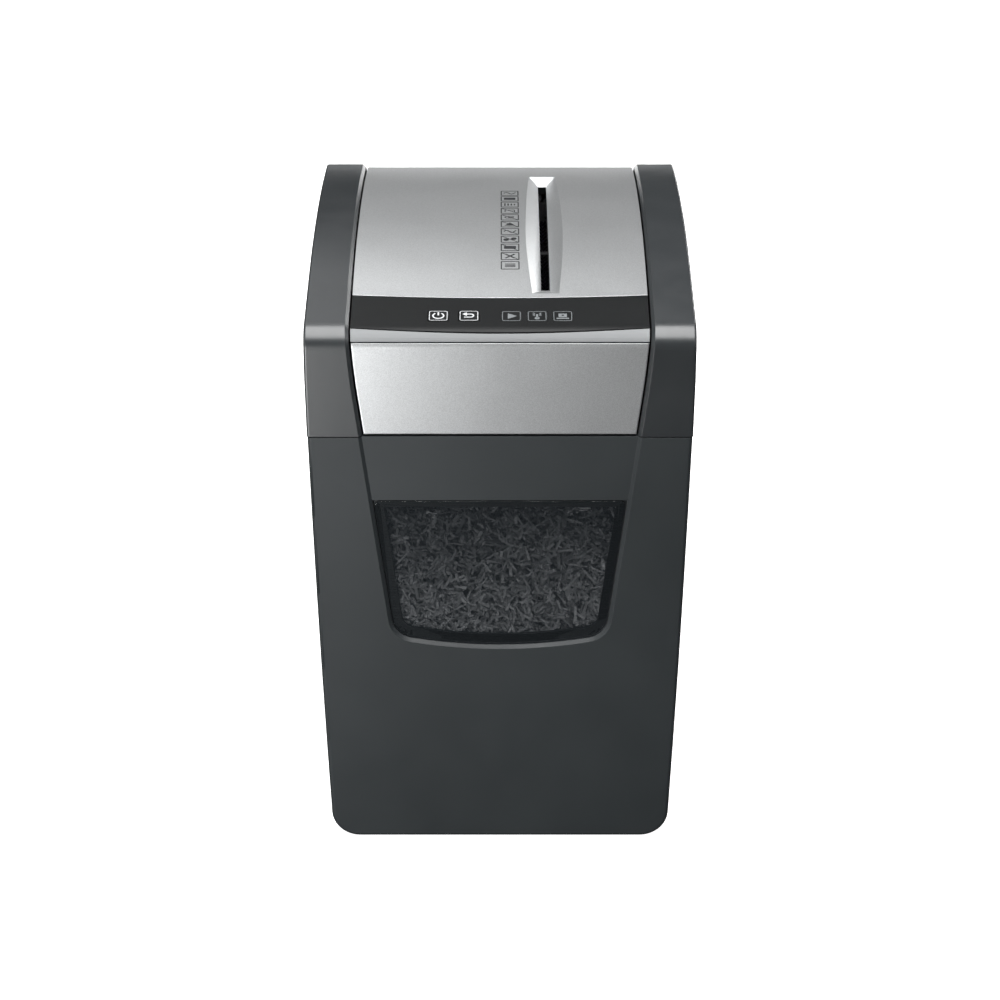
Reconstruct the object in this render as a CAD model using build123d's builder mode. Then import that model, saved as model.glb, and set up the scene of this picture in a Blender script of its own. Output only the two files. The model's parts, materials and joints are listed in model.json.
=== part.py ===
from build123d import *
import os
from math import acos, asin, cos, degrees, pi, radians, sin, sqrt, tan

# A narrow free-standing paper shredder. A pull-out bin with a window fills the lower body. The head above
# holds two cutters that run front to back under the entry slot, a motor, a gear train and the controls.
# Origin: middle of the base on the floor. +X is the right-hand side, -Y the front, +Z up. Millimetres.

os.makedirs("parts", exist_ok=True)

# ---------------------------------------------------------------------------------------------------------
# Driving dimensions
# ---------------------------------------------------------------------------------------------------------
body_width = 288.0                      # across the side frames
body_depth = 360.0
foot_height = 2.5
seam_z = 350.0                          # bottom of the head
crest_z = 451.0                         # top line of the side frames, at mid depth
half_width = body_width / 2
front_y = -body_depth / 2
rear_y = body_depth / 2

# Side view of the head: a straight ramp at the front, a crown, and a longer fall to the rear
ramp_angle = radians(7.6)
front_crown_radius = 750.0
rear_crown_radius = 1040.0
front_bend_radius = 16.0
rear_bend_radius = 8.0

# Front view of the lower body: bowed sides that close in towards the floor
base_half_width = 131.4
waist_half_width = 138.5
waist_z = 189.0
seam_half_width = 142.9
base_corner_radius = 22.0

wall = 3.0                              # moulded shells
skin = 2.6                              # side frames
panel_wall = 2.5                        # silver and black panels
panel_inset = 2.5                       # the panels lie this far inside the side frames' faces
panel_gap = 1.4                         # shadow gap between the panels and the side frames
frame_chamfer = 2.4                     # bevel on the side frames' inner edges
outer_rim_radius = 2.0                  # and rounding on their outer edges
lip_bottom_z = 420.0                    # return wall inside the side frames' inner edges
front_return = 12.0                     # depth of the solid corner beside the front panel

# Outline of the panels between the side frames: sides that lean out, then straighten towards the top
panel_half_width = 110.4
panel_seam_half_width = 101.1
panel_lean = radians(7.42)
lean_top_z = 382.0
panel_shoulder_z = 452.0

# Control band on the ramp, bounded by two shallow arcs in plan; the middle of each arc lies further forward
band_rear_edge_y = -118.3
band_front_edge_y = -164.8
band_bow = 7.0
panel_joint = 1.0                       # gap between neighbouring panels
strip_bottom_z = 424.9
front_panel_top_z = 423.9
top_panel_back_z = 428.0                # lower edge of the top panel's turned-down rear

# Entry slot and its funnel
slot_x = 34.2
slot_width = 6.6
slot_front_y = -103.0
slot_rear_y = 121.0
slot_end_z = 435.4                      # funnel's bottom line at the slot's ends
slot_mid_z = 440.0                      # and at its middle
funnel_flare = 1.3                      # side bevel's width per unit of its height
funnel_front_run = 3.8                  # end bevels' length per unit of their height
funnel_rear_run = 2.5
funnel_block_depth = 12.0
funnel_block_half_width = 18.0
funnel_block_front_y = -120.0
funnel_block_rear_y = 130.3

# Bin
bin_slide_gap = 1.0
bin_rim_depth = 20.0
bin_top_z = 349.2
shield_top_half_width = 105.3           # recess edge at the seam
shield_lean = 0.1303                    # inward lean of the recess edge per unit of height
shield_bottom_z = 171.0
shield_bow = 9.0                        # rise of the bowed bottom edge towards its ends
shield_corner_radius = 21.0
shield_depth = 2.4
window_inset = 3.4                      # from the recess edge to the window pane's edge
window_border = 6.8
window_top_z = 296.6
window_pane = 2.5
window_clearance = 0.9
tub_floor_z = 9.3
tub_top_z = 338.0
tub_floor_half_width = 114.0
tub_top_half_width = 136.0
tub_corner_radius = 17.0
tub_rear_y = 162.0
tub_wall = 2.2
flange_width = 11.0

# Cutting block
shaft_z = 395.5
shaft_spacing = 34.0
shaft_left_x = slot_x - shaft_spacing / 2
shaft_right_x = slot_x + shaft_spacing / 2
disc_radius = 20.5
core_radius = 13.2
disc_thickness = 3.4
disc_pitch = 8.0
disc_count = 28
disc_notches = 6
notch_width, notch_depth = 5.0, 3.2     # teeth are left between the notches in each disc's rim
disc_twist = 17                         # degrees from each disc to the next
first_disc_y = -103.4
core_front_y = -107.5
core_rear_y = 122.5
journal_radius = 7.0
running_clearance = 0.05
plate_thickness = 4.0
front_plate_y = -111.7                  # rear face of the front plate
rear_plate_y = 124.7                    # front face of the rear plate
plate_top_z = 420.0
bush_radius = 10.0
tie_rod_radius = 3.5

# Gears, all with the same tooth proportions
pressure_angle = radians(25)
addendum = 0.9
dedendum = 1.15
tooth_play = 0.24                       # taken off each tooth's thickness at the pitch circle
pinion_teeth = 12
sync_module, sync_teeth = 2.0, 17
final_module, final_teeth = 1.5, 42
middle_module, middle_teeth = 1.25, 40
first_module, first_teeth = 1.0, 48
axle_radius = 3.0
final_layer = (131.0, 141.0)            # front and rear faces of each pair of meshing gears
middle_layer = (143.0, 150.0)
first_layer = (152.0, 158.0)
sync_layer = (-127.0, -117.0)
gear_cover_back_y = 162.0

# Motor
motor_radius = 27.0
motor_front_y = 36.0
motor_wall = 2.5
rotor_radius = 22.0

# Controls on the ramp
key_row_y = -151.4
key_x = {"power_button": -45.5, "reverse_button": -22.9}
lens_x = (8.4, 27.4, 46.3)
key_size = 15.2
key_play = 0.35
key_corner_radius = 2.0
board_depth = 11.0                      # control board's top, below the panel's face

# Rear
rocker_x, rocker_z = 82.0, 388.0
rocker_radius = 11.2
rocker_tilt = 10.0
gland_x, gland_z = -80.0, 380.0


# ---------------------------------------------------------------------------------------------------------
# Shared outlines
# ---------------------------------------------------------------------------------------------------------
def across(y):
    """Plane facing the front at depth y; a positive extrusion runs towards the front."""
    return Plane.XZ.offset(-y)


def facing_back(y):
    """Plane facing the rear at depth y; a positive extrusion runs towards the rear."""
    return Plane(origin=(0, y, 0), x_dir=(-1, 0, 0), z_dir=(0, 1, 0))


def around(center, y):
    """Plane facing the front whose origin lies on a shaft."""
    return Plane(origin=(center[0], y, center[1]), x_dir=(1, 0, 0), z_dir=(0, -1, 0))


def level(z):
    return Plane.XY.offset(z)


def crown_point(radius, angle):
    """Point of a crown arc at an angle ahead of the crest, as (y, z)."""
    return (-radius * sin(angle), crest_z - radius * (1 - cos(angle)))


ramp_top = crown_point(front_crown_radius, ramp_angle)
nose_z = ramp_top[1] - (ramp_top[0] - front_y) * tan(ramp_angle)
rear_crown_angle = -asin(rear_y / rear_crown_radius)
rear_top = crown_point(rear_crown_radius, rear_crown_angle)


def side_outline(x, inset=0.0, bottom_z=seam_z):
    """The head seen from the side, its front, top and rear faces moved inwards by inset."""
    low = bottom_z - inset
    with BuildSketch(Plane.YZ.offset(x)) as outline:
        with BuildLine():
            Polyline(rear_top, (rear_y, low), (front_y, low), (front_y, nose_z), ramp_top)
            ThreePointArc(ramp_top, crown_point(front_crown_radius, ramp_angle / 2), (0, crest_z))
            ThreePointArc((0, crest_z), crown_point(rear_crown_radius, rear_crown_angle / 2), rear_top)
        make_face()
        fillet(outline.vertices().sort_by_distance((front_y, nose_z))[0], front_bend_radius)
        fillet(outline.vertices().sort_by_distance(rear_top)[0], rear_bend_radius)
        if inset:
            offset(amount=-inset)
    return outline.sketch


def body_outline(y, inset=0.0, top_z=seam_z):
    """The lower body seen from the front, its sides and bottom moved inwards by inset."""
    top = top_z + inset
    top_half = seam_half_width + (top - seam_z) * (seam_half_width - waist_half_width) / (seam_z - waist_z)
    with BuildSketch(across(y)) as outline:
        with BuildLine():
            ThreePointArc((base_half_width, foot_height), (waist_half_width, waist_z), (top_half, top))
            Line((top_half, top), (-top_half, top))
            ThreePointArc((-top_half, top), (-waist_half_width, waist_z), (-base_half_width, foot_height))
            Line((-base_half_width, foot_height), (base_half_width, foot_height))
        make_face()
        fillet(outline.vertices().group_by(Axis.Y)[0], base_corner_radius)
        if inset:
            offset(amount=-inset)
    return outline.sketch


def panel_outline(y, growth, bottom_z, top_z):
    """Front view of the space between the side frames, widened by growth on each side."""
    def lean_half(z):
        return panel_seam_half_width + growth + (z - seam_z) * tan(panel_lean)

    shoulder_half = panel_half_width + growth
    lean_top = (lean_half(lean_top_z), lean_top_z)
    low_z = seam_z - 20
    high_z = panel_shoulder_z + 20
    with BuildSketch(across(y)) as outline:
        with BuildLine():
            Line((lean_half(low_z), low_z), lean_top)
            TangentArc(lean_top, (shoulder_half, panel_shoulder_z), tangent=(tan(panel_lean), 1))
            Polyline((shoulder_half, panel_shoulder_z), (shoulder_half, high_z), (0, high_z), (0, low_z),
                     (lean_half(low_z), low_z))
        make_face()
        mirror(about=Plane.YZ)
        with Locations((0, bottom_z)):
            Rectangle(body_width, top_z - bottom_z, align=(Align.CENTER, Align.MIN), mode=Mode.INTERSECT)
    return outline.sketch


def shield_outline(plane, inset, top_z):
    """Recess of the bin front and, further in, the window: leaning sides over a bowed bottom."""
    corner_z = shield_bottom_z + shield_bow
    corner_half = shield_top_half_width - (seam_z - corner_z) * shield_lean
    head_z = seam_z + 10
    head_half = shield_top_half_width + (head_z - seam_z) * shield_lean
    with BuildSketch(plane) as outline:
        with BuildLine():
            Polyline((corner_half, corner_z), (head_half, head_z), (-head_half, head_z),
                     (-corner_half, corner_z))
            ThreePointArc((-corner_half, corner_z), (0, shield_bottom_z), (corner_half, corner_z))
        make_face()
        fillet(outline.vertices().filter_by(lambda corner: corner.Y < seam_z), shield_corner_radius)
        if inset:
            offset(amount=-inset)
        with Locations((0, top_z)):
            Rectangle(body_width, body_width, align=(Align.CENTER, Align.MAX), mode=Mode.INTERSECT)
    return outline.sketch


def band_region(front_edge, rear_edge):
    """Plan view of one panel between two bowed edges, each given by the depth of its ends."""
    reach = half_width
    with BuildSketch(level(seam_z - 10)) as region:
        with BuildLine():
            ThreePointArc((-reach, front_edge), (0, front_edge - band_bow), (reach, front_edge))
            Line((reach, front_edge), (reach, rear_edge))
            ThreePointArc((reach, rear_edge), (0, rear_edge - band_bow), (-reach, rear_edge))
            Line((-reach, rear_edge), (-reach, front_edge))
        make_face()
    return region.sketch


def panel_band(bottom_z, top_z):
    """Bent sheet from the front over the top to the rear, between the side frames, cut at two heights."""
    with BuildPart() as band:
        extrude(side_outline(-half_width, panel_inset), amount=body_width)
        hollow = side_outline(-half_width - 1, panel_inset + panel_wall, seam_z - 5)
        extrude(hollow, amount=body_width + 2, mode=Mode.SUBTRACT)
        extrude(panel_outline(rear_y + 1, 0, bottom_z, top_z), amount=body_depth + 2, mode=Mode.INTERSECT)
    return band.part


above_all = crest_z + 10
band_height = above_all - seam_z + 10

# ---------------------------------------------------------------------------------------------------------
# Cabinet
# ---------------------------------------------------------------------------------------------------------
cabinet_front_y = front_y + bin_rim_depth + bin_slide_gap
floor_top_z = foot_height + wall
rail_height = 3.5
ledge_thickness = 2.5
ledge_inner_half_width = 133.0
ledge_outer_half_width = 141.5
deck_screws = (271.0, 130.0)            # spacing of the deck screws, across and along the body
grip_z = 282.0
grip_height = 84.0
grip_reach = 16.0
back_edge_radius = 3.0
switch_z = 328.0                        # height of the bin's magnet and of the switch it closes

with BuildPart() as cabinet_shell:
    extrude(body_outline(rear_y), amount=rear_y - cabinet_front_y)
    back_edges = cabinet_shell.faces().sort_by(Axis.Y)[-1].edges()
    fillet(back_edges.filter_by(lambda edge: edge.center().Z < seam_z - 1), radius=back_edge_radius)
    extrude(body_outline(rear_y - wall, wall, seam_z + 10), amount=body_depth, mode=Mode.SUBTRACT)
    # inward ledge that carries the head, on both sides and across the back
    ledge_length = rear_y - wall / 2 - cabinet_front_y
    with BuildSketch(level(seam_z - ledge_thickness)):
        with Locations((0, rear_y - wall / 2)):
            Rectangle(2 * ledge_outer_half_width, ledge_length, align=(Align.CENTER, Align.MAX))
        with Locations((0, rear_y - 14)):
            Rectangle(2 * ledge_inner_half_width, body_depth, align=(Align.CENTER, Align.MAX),
                      mode=Mode.SUBTRACT)
    extrude(amount=ledge_thickness)
    # finger notches behind the bin front's rim, one in each side wall
    with BuildSketch(Plane.YZ.offset(-half_width)):
        with Locations((cabinet_front_y, grip_z)):
            RectangleRounded(2 * grip_reach, grip_height, grip_reach - 1)
    extrude(amount=body_width, mode=Mode.SUBTRACT)
    with BuildSketch(level(seam_z - ledge_thickness)):
        with GridLocations(*deck_screws, 2, 3):
            Circle(1.9)
    extrude(amount=ledge_thickness, mode=Mode.SUBTRACT)

with BuildPart() as bin_rails:
    with BuildSketch(level(floor_top_z)):
        with Locations((0, 8)):
            with GridLocations(156, 0, 2, 1):
                RectangleRounded(12, 310, 3)
    extrude(amount=rail_height)

with BuildPart() as rubber_feet:
    with BuildSketch():
        with Locations((0, 8)):
            with GridLocations(178, 276, 2, 2):
                Circle(10)
    extrude(amount=foot_height)
    chamfer(rubber_feet.faces().group_by(Axis.Z)[0].edges(), 0.5)

with BuildPart() as reed_switch:
    with BuildSketch(across(rear_y - wall)):
        with Locations((0, switch_z)):
            RectangleRounded(26, 9, 1.5)
    extrude(amount=6)

# ---------------------------------------------------------------------------------------------------------
# Bin
# ---------------------------------------------------------------------------------------------------------
recess_y = front_y + shield_depth
pad_rear_y = recess_y + window_pane + panel_wall
tub_front_y = front_y + wall

with BuildPart() as bin_front:
    extrude(body_outline(front_y + bin_rim_depth, top_z=bin_top_z + 6), amount=bin_rim_depth)
    fillet(bin_front.faces().sort_by(Axis.Y)[0].edges(), radius=2.8)
    with BuildSketch(level(bin_top_z)):
        Rectangle(2 * body_width, 2 * body_depth)
    extrude(amount=20, mode=Mode.SUBTRACT)
    cavity = body_outline(front_y + bin_rim_depth, wall, bin_top_z - 2 * wall)
    extrude(cavity, amount=bin_rim_depth - wall, mode=Mode.SUBTRACT)
    # thickened pad that the recess and the window pane are sunk into
    extrude(shield_outline(across(pad_rear_y), -2.0, bin_top_z - wall), amount=pad_rear_y - tub_front_y + 1)
    recess = shield_outline(facing_back(front_y), 0, seam_z + 5)
    extrude(recess, amount=shield_depth, taper=45, mode=Mode.SUBTRACT)
    pocket = shield_outline(across(recess_y + window_pane), window_inset - window_clearance, window_top_z)
    extrude(pocket, amount=window_pane + 1, mode=Mode.SUBTRACT)
    opening_top_z = window_top_z - window_border
    opening = shield_outline(across(pad_rear_y + 1), window_inset + window_border, opening_top_z)
    extrude(opening, amount=10, mode=Mode.SUBTRACT)

with BuildPart() as bin_window:
    pane = shield_outline(across(recess_y + window_pane), window_inset, window_top_z - window_clearance)
    extrude(pane, amount=window_pane)
    fillet(bin_window.edges().filter_by(Axis.Y).group_by(Axis.Z)[-1], radius=4)
    fillet(bin_window.faces().sort_by(Axis.Y)[0].edges(), radius=0.6)


def tub_half(z):
    return tub_floor_half_width + (z - tub_floor_z) * tub_lean


tub_lean = (tub_top_half_width - tub_floor_half_width) / (tub_top_z - tub_floor_z)


def tub_outline(y, inset, extra_height=0.0):
    """Cross-section of the tub: leaning sides and rounded floor corners, moved inwards by inset."""
    low = tub_floor_z + inset
    high = tub_top_z + extra_height
    low_half = tub_half(low) - inset * sqrt(1 + tub_lean**2)
    high_half = tub_half(high) - inset * sqrt(1 + tub_lean**2)
    with BuildSketch(across(y)) as outline:
        with BuildLine():
            Polyline((low_half, low), (high_half, high), (-high_half, high), (-low_half, low), close=True)
        make_face()
        fillet(outline.vertices().group_by(Axis.Y)[0], max(tub_corner_radius - inset, 4.0))
    return outline.sketch


with BuildPart() as bin_tub:
    extrude(tub_outline(tub_rear_y, 0), amount=tub_rear_y - tub_front_y)
    tub_back = bin_tub.faces().sort_by(Axis.Y)[-1].edges()
    fillet(tub_back.filter_by(lambda edge: edge.center().Z < tub_top_z - 1), radius=4)
    inside_length = tub_rear_y - tub_front_y - 2 * tub_wall
    extrude(tub_outline(tub_rear_y - tub_wall, tub_wall, 5), amount=inside_length, mode=Mode.SUBTRACT)
    # the front end keeps a flange that is screwed to the bin front
    extrude(tub_outline(tub_front_y + 2 * tub_wall, flange_width, 5), amount=4 * tub_wall, mode=Mode.SUBTRACT)

bin_screw_points = [(side * (tub_half(z) - 6.4), z) for side in (-1, 1) for z in (50, 150, 250, 320)]
with BuildPart() as bin_screws:
    with BuildSketch(across(tub_front_y + tub_wall + 2)):
        with Locations(*bin_screw_points):
            Circle(3.4)
    extrude(amount=2)
    fillet(bin_screws.faces().group_by(Axis.Y)[-1].edges(), radius=0.8)

with BuildPart() as bin_magnet:
    with BuildSketch(across(tub_rear_y + 4)):
        with Locations((0, switch_z)):
            RectangleRounded(18, 8, 1)
    extrude(amount=4)

# ---------------------------------------------------------------------------------------------------------
# Head: chassis, side frames and panels
# ---------------------------------------------------------------------------------------------------------
deck_z = seam_z + wall
chassis_half_width = 138.0
chassis_half_depth = 167.5
tongue_half_width = 97.0                # between the side frames' front corners
chute_left, chute_right = slot_x - 42.0, slot_x + 42.0
chute_front, chute_rear = front_plate_y, rear_plate_y
rib_height = 13.0
rib_half_width = 90.0
panel_back_y = rear_y - panel_inset - panel_wall    # inner face of the rear cover
main_board_box = (-104.0, -26.0, -95.0, 12.0)       # left, right, front, rear
standoff_height = 6.0


def chute_outline(z, margin):
    with BuildSketch(level(z)) as outline:
        with Locations(((chute_left + chute_right) / 2, (chute_front + chute_rear) / 2)):
            Rectangle(chute_right - chute_left + 2 * margin, chute_rear - chute_front + 2 * margin)
    return outline.sketch


board_left, board_right, board_front, board_rear = main_board_box
board_center = ((board_left + board_right) / 2, (board_front + board_rear) / 2)
board_size = (board_right - board_left, board_rear - board_front)

with BuildPart() as head_chassis:
    with BuildSketch(level(seam_z)):
        Rectangle(2 * chassis_half_width, 2 * chassis_half_depth)
        Rectangle(2 * tongue_half_width, 2 * panel_back_y)
    extrude(amount=wall)
    # ribs that the front panel and the rear cover are fixed to
    with BuildSketch(level(deck_z)):
        with GridLocations(0, 2 * panel_back_y - wall, 1, 2):
            Rectangle(2 * rib_half_width, wall)
    extrude(amount=rib_height)
    extrude(chute_outline(seam_z - 6, wall), amount=6)
    with BuildSketch(level(deck_z)):
        with Locations(board_center):
            with GridLocations(board_size[0] - 8, board_size[1] - 8, 2, 2):
                Circle(3)
    extrude(amount=standoff_height)
    extrude(chute_outline(seam_z - 6, 0), amount=6 + wall, mode=Mode.SUBTRACT)
    with BuildSketch(level(seam_z)):
        with GridLocations(*deck_screws, 2, 3):
            Circle(1.9)
    extrude(amount=wall, mode=Mode.SUBTRACT)

with BuildPart() as chassis_screws:
    with BuildSketch(level(deck_z)):
        with GridLocations(*deck_screws, 2, 3):
            Circle(2.4)
    extrude(amount=2)
    with BuildSketch(level(deck_z)):
        with GridLocations(*deck_screws, 2, 3):
            Circle(1.8)
    extrude(amount=-9)

frame_root_x = 95.0
cavity_inner_x = 114.5
with BuildPart() as right_side_frame:
    extrude(side_outline(frame_root_x), amount=half_width - frame_root_x)
    with BuildSketch(across(rear_y + 1)):
        Polygon((0, seam_z), (half_width - 0.7, seam_z), (half_width, seam_z + 45), (half_width, above_all),
                (0, above_all), align=None)
    extrude(amount=body_depth + 2, mode=Mode.INTERSECT)
    between = panel_outline(rear_y + 1, panel_gap, seam_z - 1, above_all)
    extrude(between, amount=body_depth + 2, mode=Mode.SUBTRACT)
    rims = right_side_frame.edges().filter_by(
        lambda edge: edge.center().Z > seam_z + 2 and edge.center().Y < rear_y - 1)
    chamfer(rims.filter_by(lambda edge: edge.center().X < cavity_inner_x), frame_chamfer)
    outer_rims = right_side_frame.edges().filter_by(
        lambda edge: edge.center().X > half_width - 1 and edge.center().Z > seam_z + 2 and edge.length > 15)
    fillet(outer_rims, radius=outer_rim_radius)
    hollow = side_outline(cavity_inner_x, skin, seam_z - 1)
    extrude(hollow, amount=half_width - 0.7 - skin - cavity_inner_x, mode=Mode.SUBTRACT)
    # below the lip the inner side is open, except for the front corner
    with BuildSketch(level(seam_z - 1)):
        with Locations((frame_root_x, front_y + front_return)):
            Rectangle(cavity_inner_x + 1 - frame_root_x, body_depth - front_return - skin, align=Align.MIN)
    extrude(amount=lip_bottom_z - seam_z + 1, mode=Mode.SUBTRACT)

with BuildPart() as left_side_frame:
    mirror(right_side_frame.part, about=Plane.YZ)

funnel_arc_half = (slot_rear_y - slot_front_y) / 2
funnel_mid_y = (slot_rear_y + slot_front_y) / 2
funnel_sag = slot_mid_z - slot_end_z
funnel_radius = (funnel_arc_half**2 + funnel_sag**2) / (2 * funnel_sag)
funnel_height = 14.0                    # taller than the deepest part of the funnel


funnel_axis_z = slot_mid_z - funnel_radius
funnel_half_arc = degrees(asin((funnel_arc_half + 35) / funnel_radius))

with BuildPart() as funnel_cutter:
    # V-shaped channel bent along the slot's bowed bottom line
    start = radians(funnel_half_arc)
    start_y = funnel_mid_y - funnel_radius * sin(start)
    start_point = (slot_x, start_y, funnel_axis_z + funnel_radius * cos(start))
    with BuildSketch(Plane(origin=start_point, x_dir=(1, 0, 0), z_dir=(0, -cos(start), -sin(start)))):
        low_half = slot_width / 2
        high_half = low_half + funnel_flare * funnel_height
        Polygon((-low_half, 0), (low_half, 0), (high_half, funnel_height), (-high_half, funnel_height),
                align=None)
    axis = Axis((0, funnel_mid_y, funnel_axis_z), (-1, 0, 0))
    revolve(axis=axis, revolution_arc=2 * funnel_half_arc)
    # bevelled ends
    with BuildSketch(Plane.YZ.offset(slot_x - 40)):
        rise = above_all - slot_end_z
        Polygon((slot_front_y, slot_end_z - 5), (slot_rear_y, slot_end_z - 5), (slot_rear_y, slot_end_z),
                (slot_rear_y + funnel_rear_run * rise, above_all),
                (slot_front_y - funnel_front_run * rise, above_all), (slot_front_y, slot_end_z), align=None)
    extrude(amount=80, mode=Mode.INTERSECT)
    # slit through the full depth
    with BuildSketch(level(seam_z)):
        with Locations((slot_x, funnel_mid_y)):
            Rectangle(slot_width, slot_rear_y - slot_front_y)
    extrude(amount=slot_mid_z + 4 - seam_z)

with BuildPart() as funnel_block:
    over = side_outline(slot_x - funnel_block_half_width, panel_inset + 1)
    extrude(over, amount=2 * funnel_block_half_width)
    under = side_outline(slot_x - half_width, panel_inset + funnel_block_depth, seam_z - 5)
    extrude(under, amount=body_width, mode=Mode.SUBTRACT)
    with BuildSketch(level(seam_z + 40)):
        with Locations((slot_x, funnel_block_front_y)):
            Rectangle(2 * funnel_block_half_width, funnel_block_rear_y - funnel_block_front_y,
                      align=(Align.CENTER, Align.MIN))
    extrude(amount=band_height, mode=Mode.INTERSECT)

top_band = panel_band(top_panel_back_z, above_all)
nose_band = panel_band(strip_bottom_z, above_all)
front_band = panel_band(seam_z + 0.8, front_panel_top_z)
rear_band = panel_band(seam_z + 0.8, top_panel_back_z - panel_joint)

with BuildPart() as top_panel:
    add(top_band)
    extrude(band_region(band_rear_edge_y + panel_joint, rear_y + 20), amount=band_height, mode=Mode.INTERSECT)
    add(funnel_block.part)
    add(funnel_cutter.part, mode=Mode.SUBTRACT)

row_z = ramp_top[1] - (ramp_top[0] - key_row_y) * tan(ramp_angle) - panel_inset / cos(ramp_angle)


def on_ramp(x, depth=0.0):
    """Plane on the control panel's face at a key's place, lowered into the panel by depth."""
    plane = Plane(origin=(x, key_row_y, row_z), x_dir=(1, 0, 0), z_dir=(0, -sin(ramp_angle), cos(ramp_angle)))
    return plane.offset(-depth)


board_width, board_length = 124.0, 30.0
post_spacing = (112.0, 21.0)
with BuildPart() as control_panel:
    add(nose_band)
    extrude(band_region(band_front_edge_y, band_rear_edge_y), amount=band_height, mode=Mode.INTERSECT)
    with BuildSketch(on_ramp(0, panel_wall - 0.1)):
        with GridLocations(*post_spacing, 2, 2):
            Circle(2.6)
    extrude(amount=-(board_depth - panel_wall + 0.1))
    for x in key_x.values():
        with BuildSketch(on_ramp(x, panel_wall + 1)):
            RectangleRounded(key_size + 2 * key_play, key_size + 2 * key_play, key_corner_radius + key_play)
        extrude(amount=panel_wall + 3, mode=Mode.SUBTRACT)
    for x in lens_x:
        with BuildSketch(on_ramp(x, panel_wall + 1)):
            RectangleRounded(key_size + 0.2, key_size + 0.2, key_corner_radius + 0.1)
        extrude(amount=panel_wall + 3, mode=Mode.SUBTRACT)

with BuildPart() as trim_strip:
    add(nose_band)
    nose_region = band_region(front_y - 20, band_front_edge_y - panel_joint)
    extrude(nose_region, amount=band_height, mode=Mode.INTERSECT)

with BuildPart() as front_panel:
    add(front_band)
    extrude(band_region(front_y - 20, front_y + 60), amount=band_height, mode=Mode.INTERSECT)
    face_edges = front_panel.faces().sort_by(Axis.Y)[0].edges()
    fillet(face_edges.filter_by(lambda edge: edge.center().Z < front_panel_top_z - 2.8), radius=0.9)

with BuildPart() as indicator_lenses:
    for x in lens_x:
        with BuildSketch(on_ramp(x, panel_wall)):
            RectangleRounded(key_size, key_size, key_corner_radius)
        extrude(amount=panel_wall)
        with BuildSketch(on_ramp(x, panel_wall)):
            Circle(3.0)
        extrude(amount=-(board_depth - panel_wall - 1.6))

# Rear cover with its louvres and openings
louvre = (44.0, 2.6)
louvre_pitch = 7.0
with BuildPart() as rear_cover:
    add(rear_band)
    extrude(band_region(rear_y - 60, rear_y + 20), amount=band_height, mode=Mode.INTERSECT)
    with BuildSketch(facing_back(rear_y - 10)):
        with Locations((0, 400)):
            with GridLocations(54, louvre_pitch, 3, 5):
                SlotOverall(*louvre)
        with Locations((-rocker_x, rocker_z)):
            Rectangle(18, 27)
        with Locations((-gland_x, gland_z)):
            Circle(6)
        with Locations((-70, deck_z + 6), (70, deck_z + 6)):
            Circle(1.8)
    extrude(amount=20, mode=Mode.SUBTRACT)

with BuildPart() as rear_cover_screws:
    with BuildSketch(across(rear_y - panel_inset)):
        with GridLocations(140, 0, 2, 1):
            with Locations((0, deck_z + 6)):
                Circle(3.2)
    extrude(amount=-1.8)
    fillet(rear_cover_screws.faces().group_by(Axis.Y)[-1].edges(), radius=0.7)
    with BuildSketch(across(rear_y - panel_inset)):
        with GridLocations(140, 0, 2, 1):
            with Locations((0, deck_z + 6)):
                Circle(1.7)
    extrude(amount=panel_wall)

# ---------------------------------------------------------------------------------------------------------
# Cutting block
# ---------------------------------------------------------------------------------------------------------
frame_left, frame_right = slot_x - 42.0, slot_x + 42.0
rear_frame_left = -113.0
motor_direction, middle_direction, final_direction = 187.7, 166.5, 192.0


def polar(center, distance, angle):
    return (center[0] + distance * cos(radians(angle)), center[1] + distance * sin(radians(angle)))


def center_distance(module, teeth_a, teeth_b):
    return module * (teeth_a + teeth_b) / 2


left_shaft = (shaft_left_x, shaft_z)
right_shaft = (shaft_right_x, shaft_z)
axle_2 = polar(left_shaft, center_distance(final_module, final_teeth, pinion_teeth), final_direction)
axle_1 = polar(axle_2, center_distance(middle_module, middle_teeth, pinion_teeth), middle_direction)
motor_center = polar(axle_1, center_distance(first_module, first_teeth, pinion_teeth), motor_direction)
tie_rod_points = [(slot_x + side * 38.0, z) for side in (-1, 1) for z in (363.0, 413.5)]
comb_clearance = 1.2                    # from the comb's bar to the discs
comb_bar = (frame_left + 0.5, shaft_left_x - disc_radius - comb_clearance)      # bar's left and right face
comb_bar_height = 14.0
finger_tip_x = shaft_left_x - core_radius - 0.5
finger_height = 9.0
cover_flange = (-107.5, 61.0, 374.0, 418.0)
cover_screw_points = [(x, z) for x in (-103.5, 57.0) for z in (379.0, 413.0)]
shaft_rod_radius = 3.0

with BuildPart() as cutter_plate_front:
    with BuildSketch(across(front_plate_y)):
        with Locations((frame_left, deck_z)):
            Rectangle(frame_right - frame_left, plate_top_z - deck_z, align=Align.MIN)
        with Locations(left_shaft, right_shaft):
            Circle(bush_radius, mode=Mode.SUBTRACT)
        with Locations(*tie_rod_points):
            Circle(tie_rod_radius - 1, mode=Mode.SUBTRACT)
    extrude(amount=plate_thickness)

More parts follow.
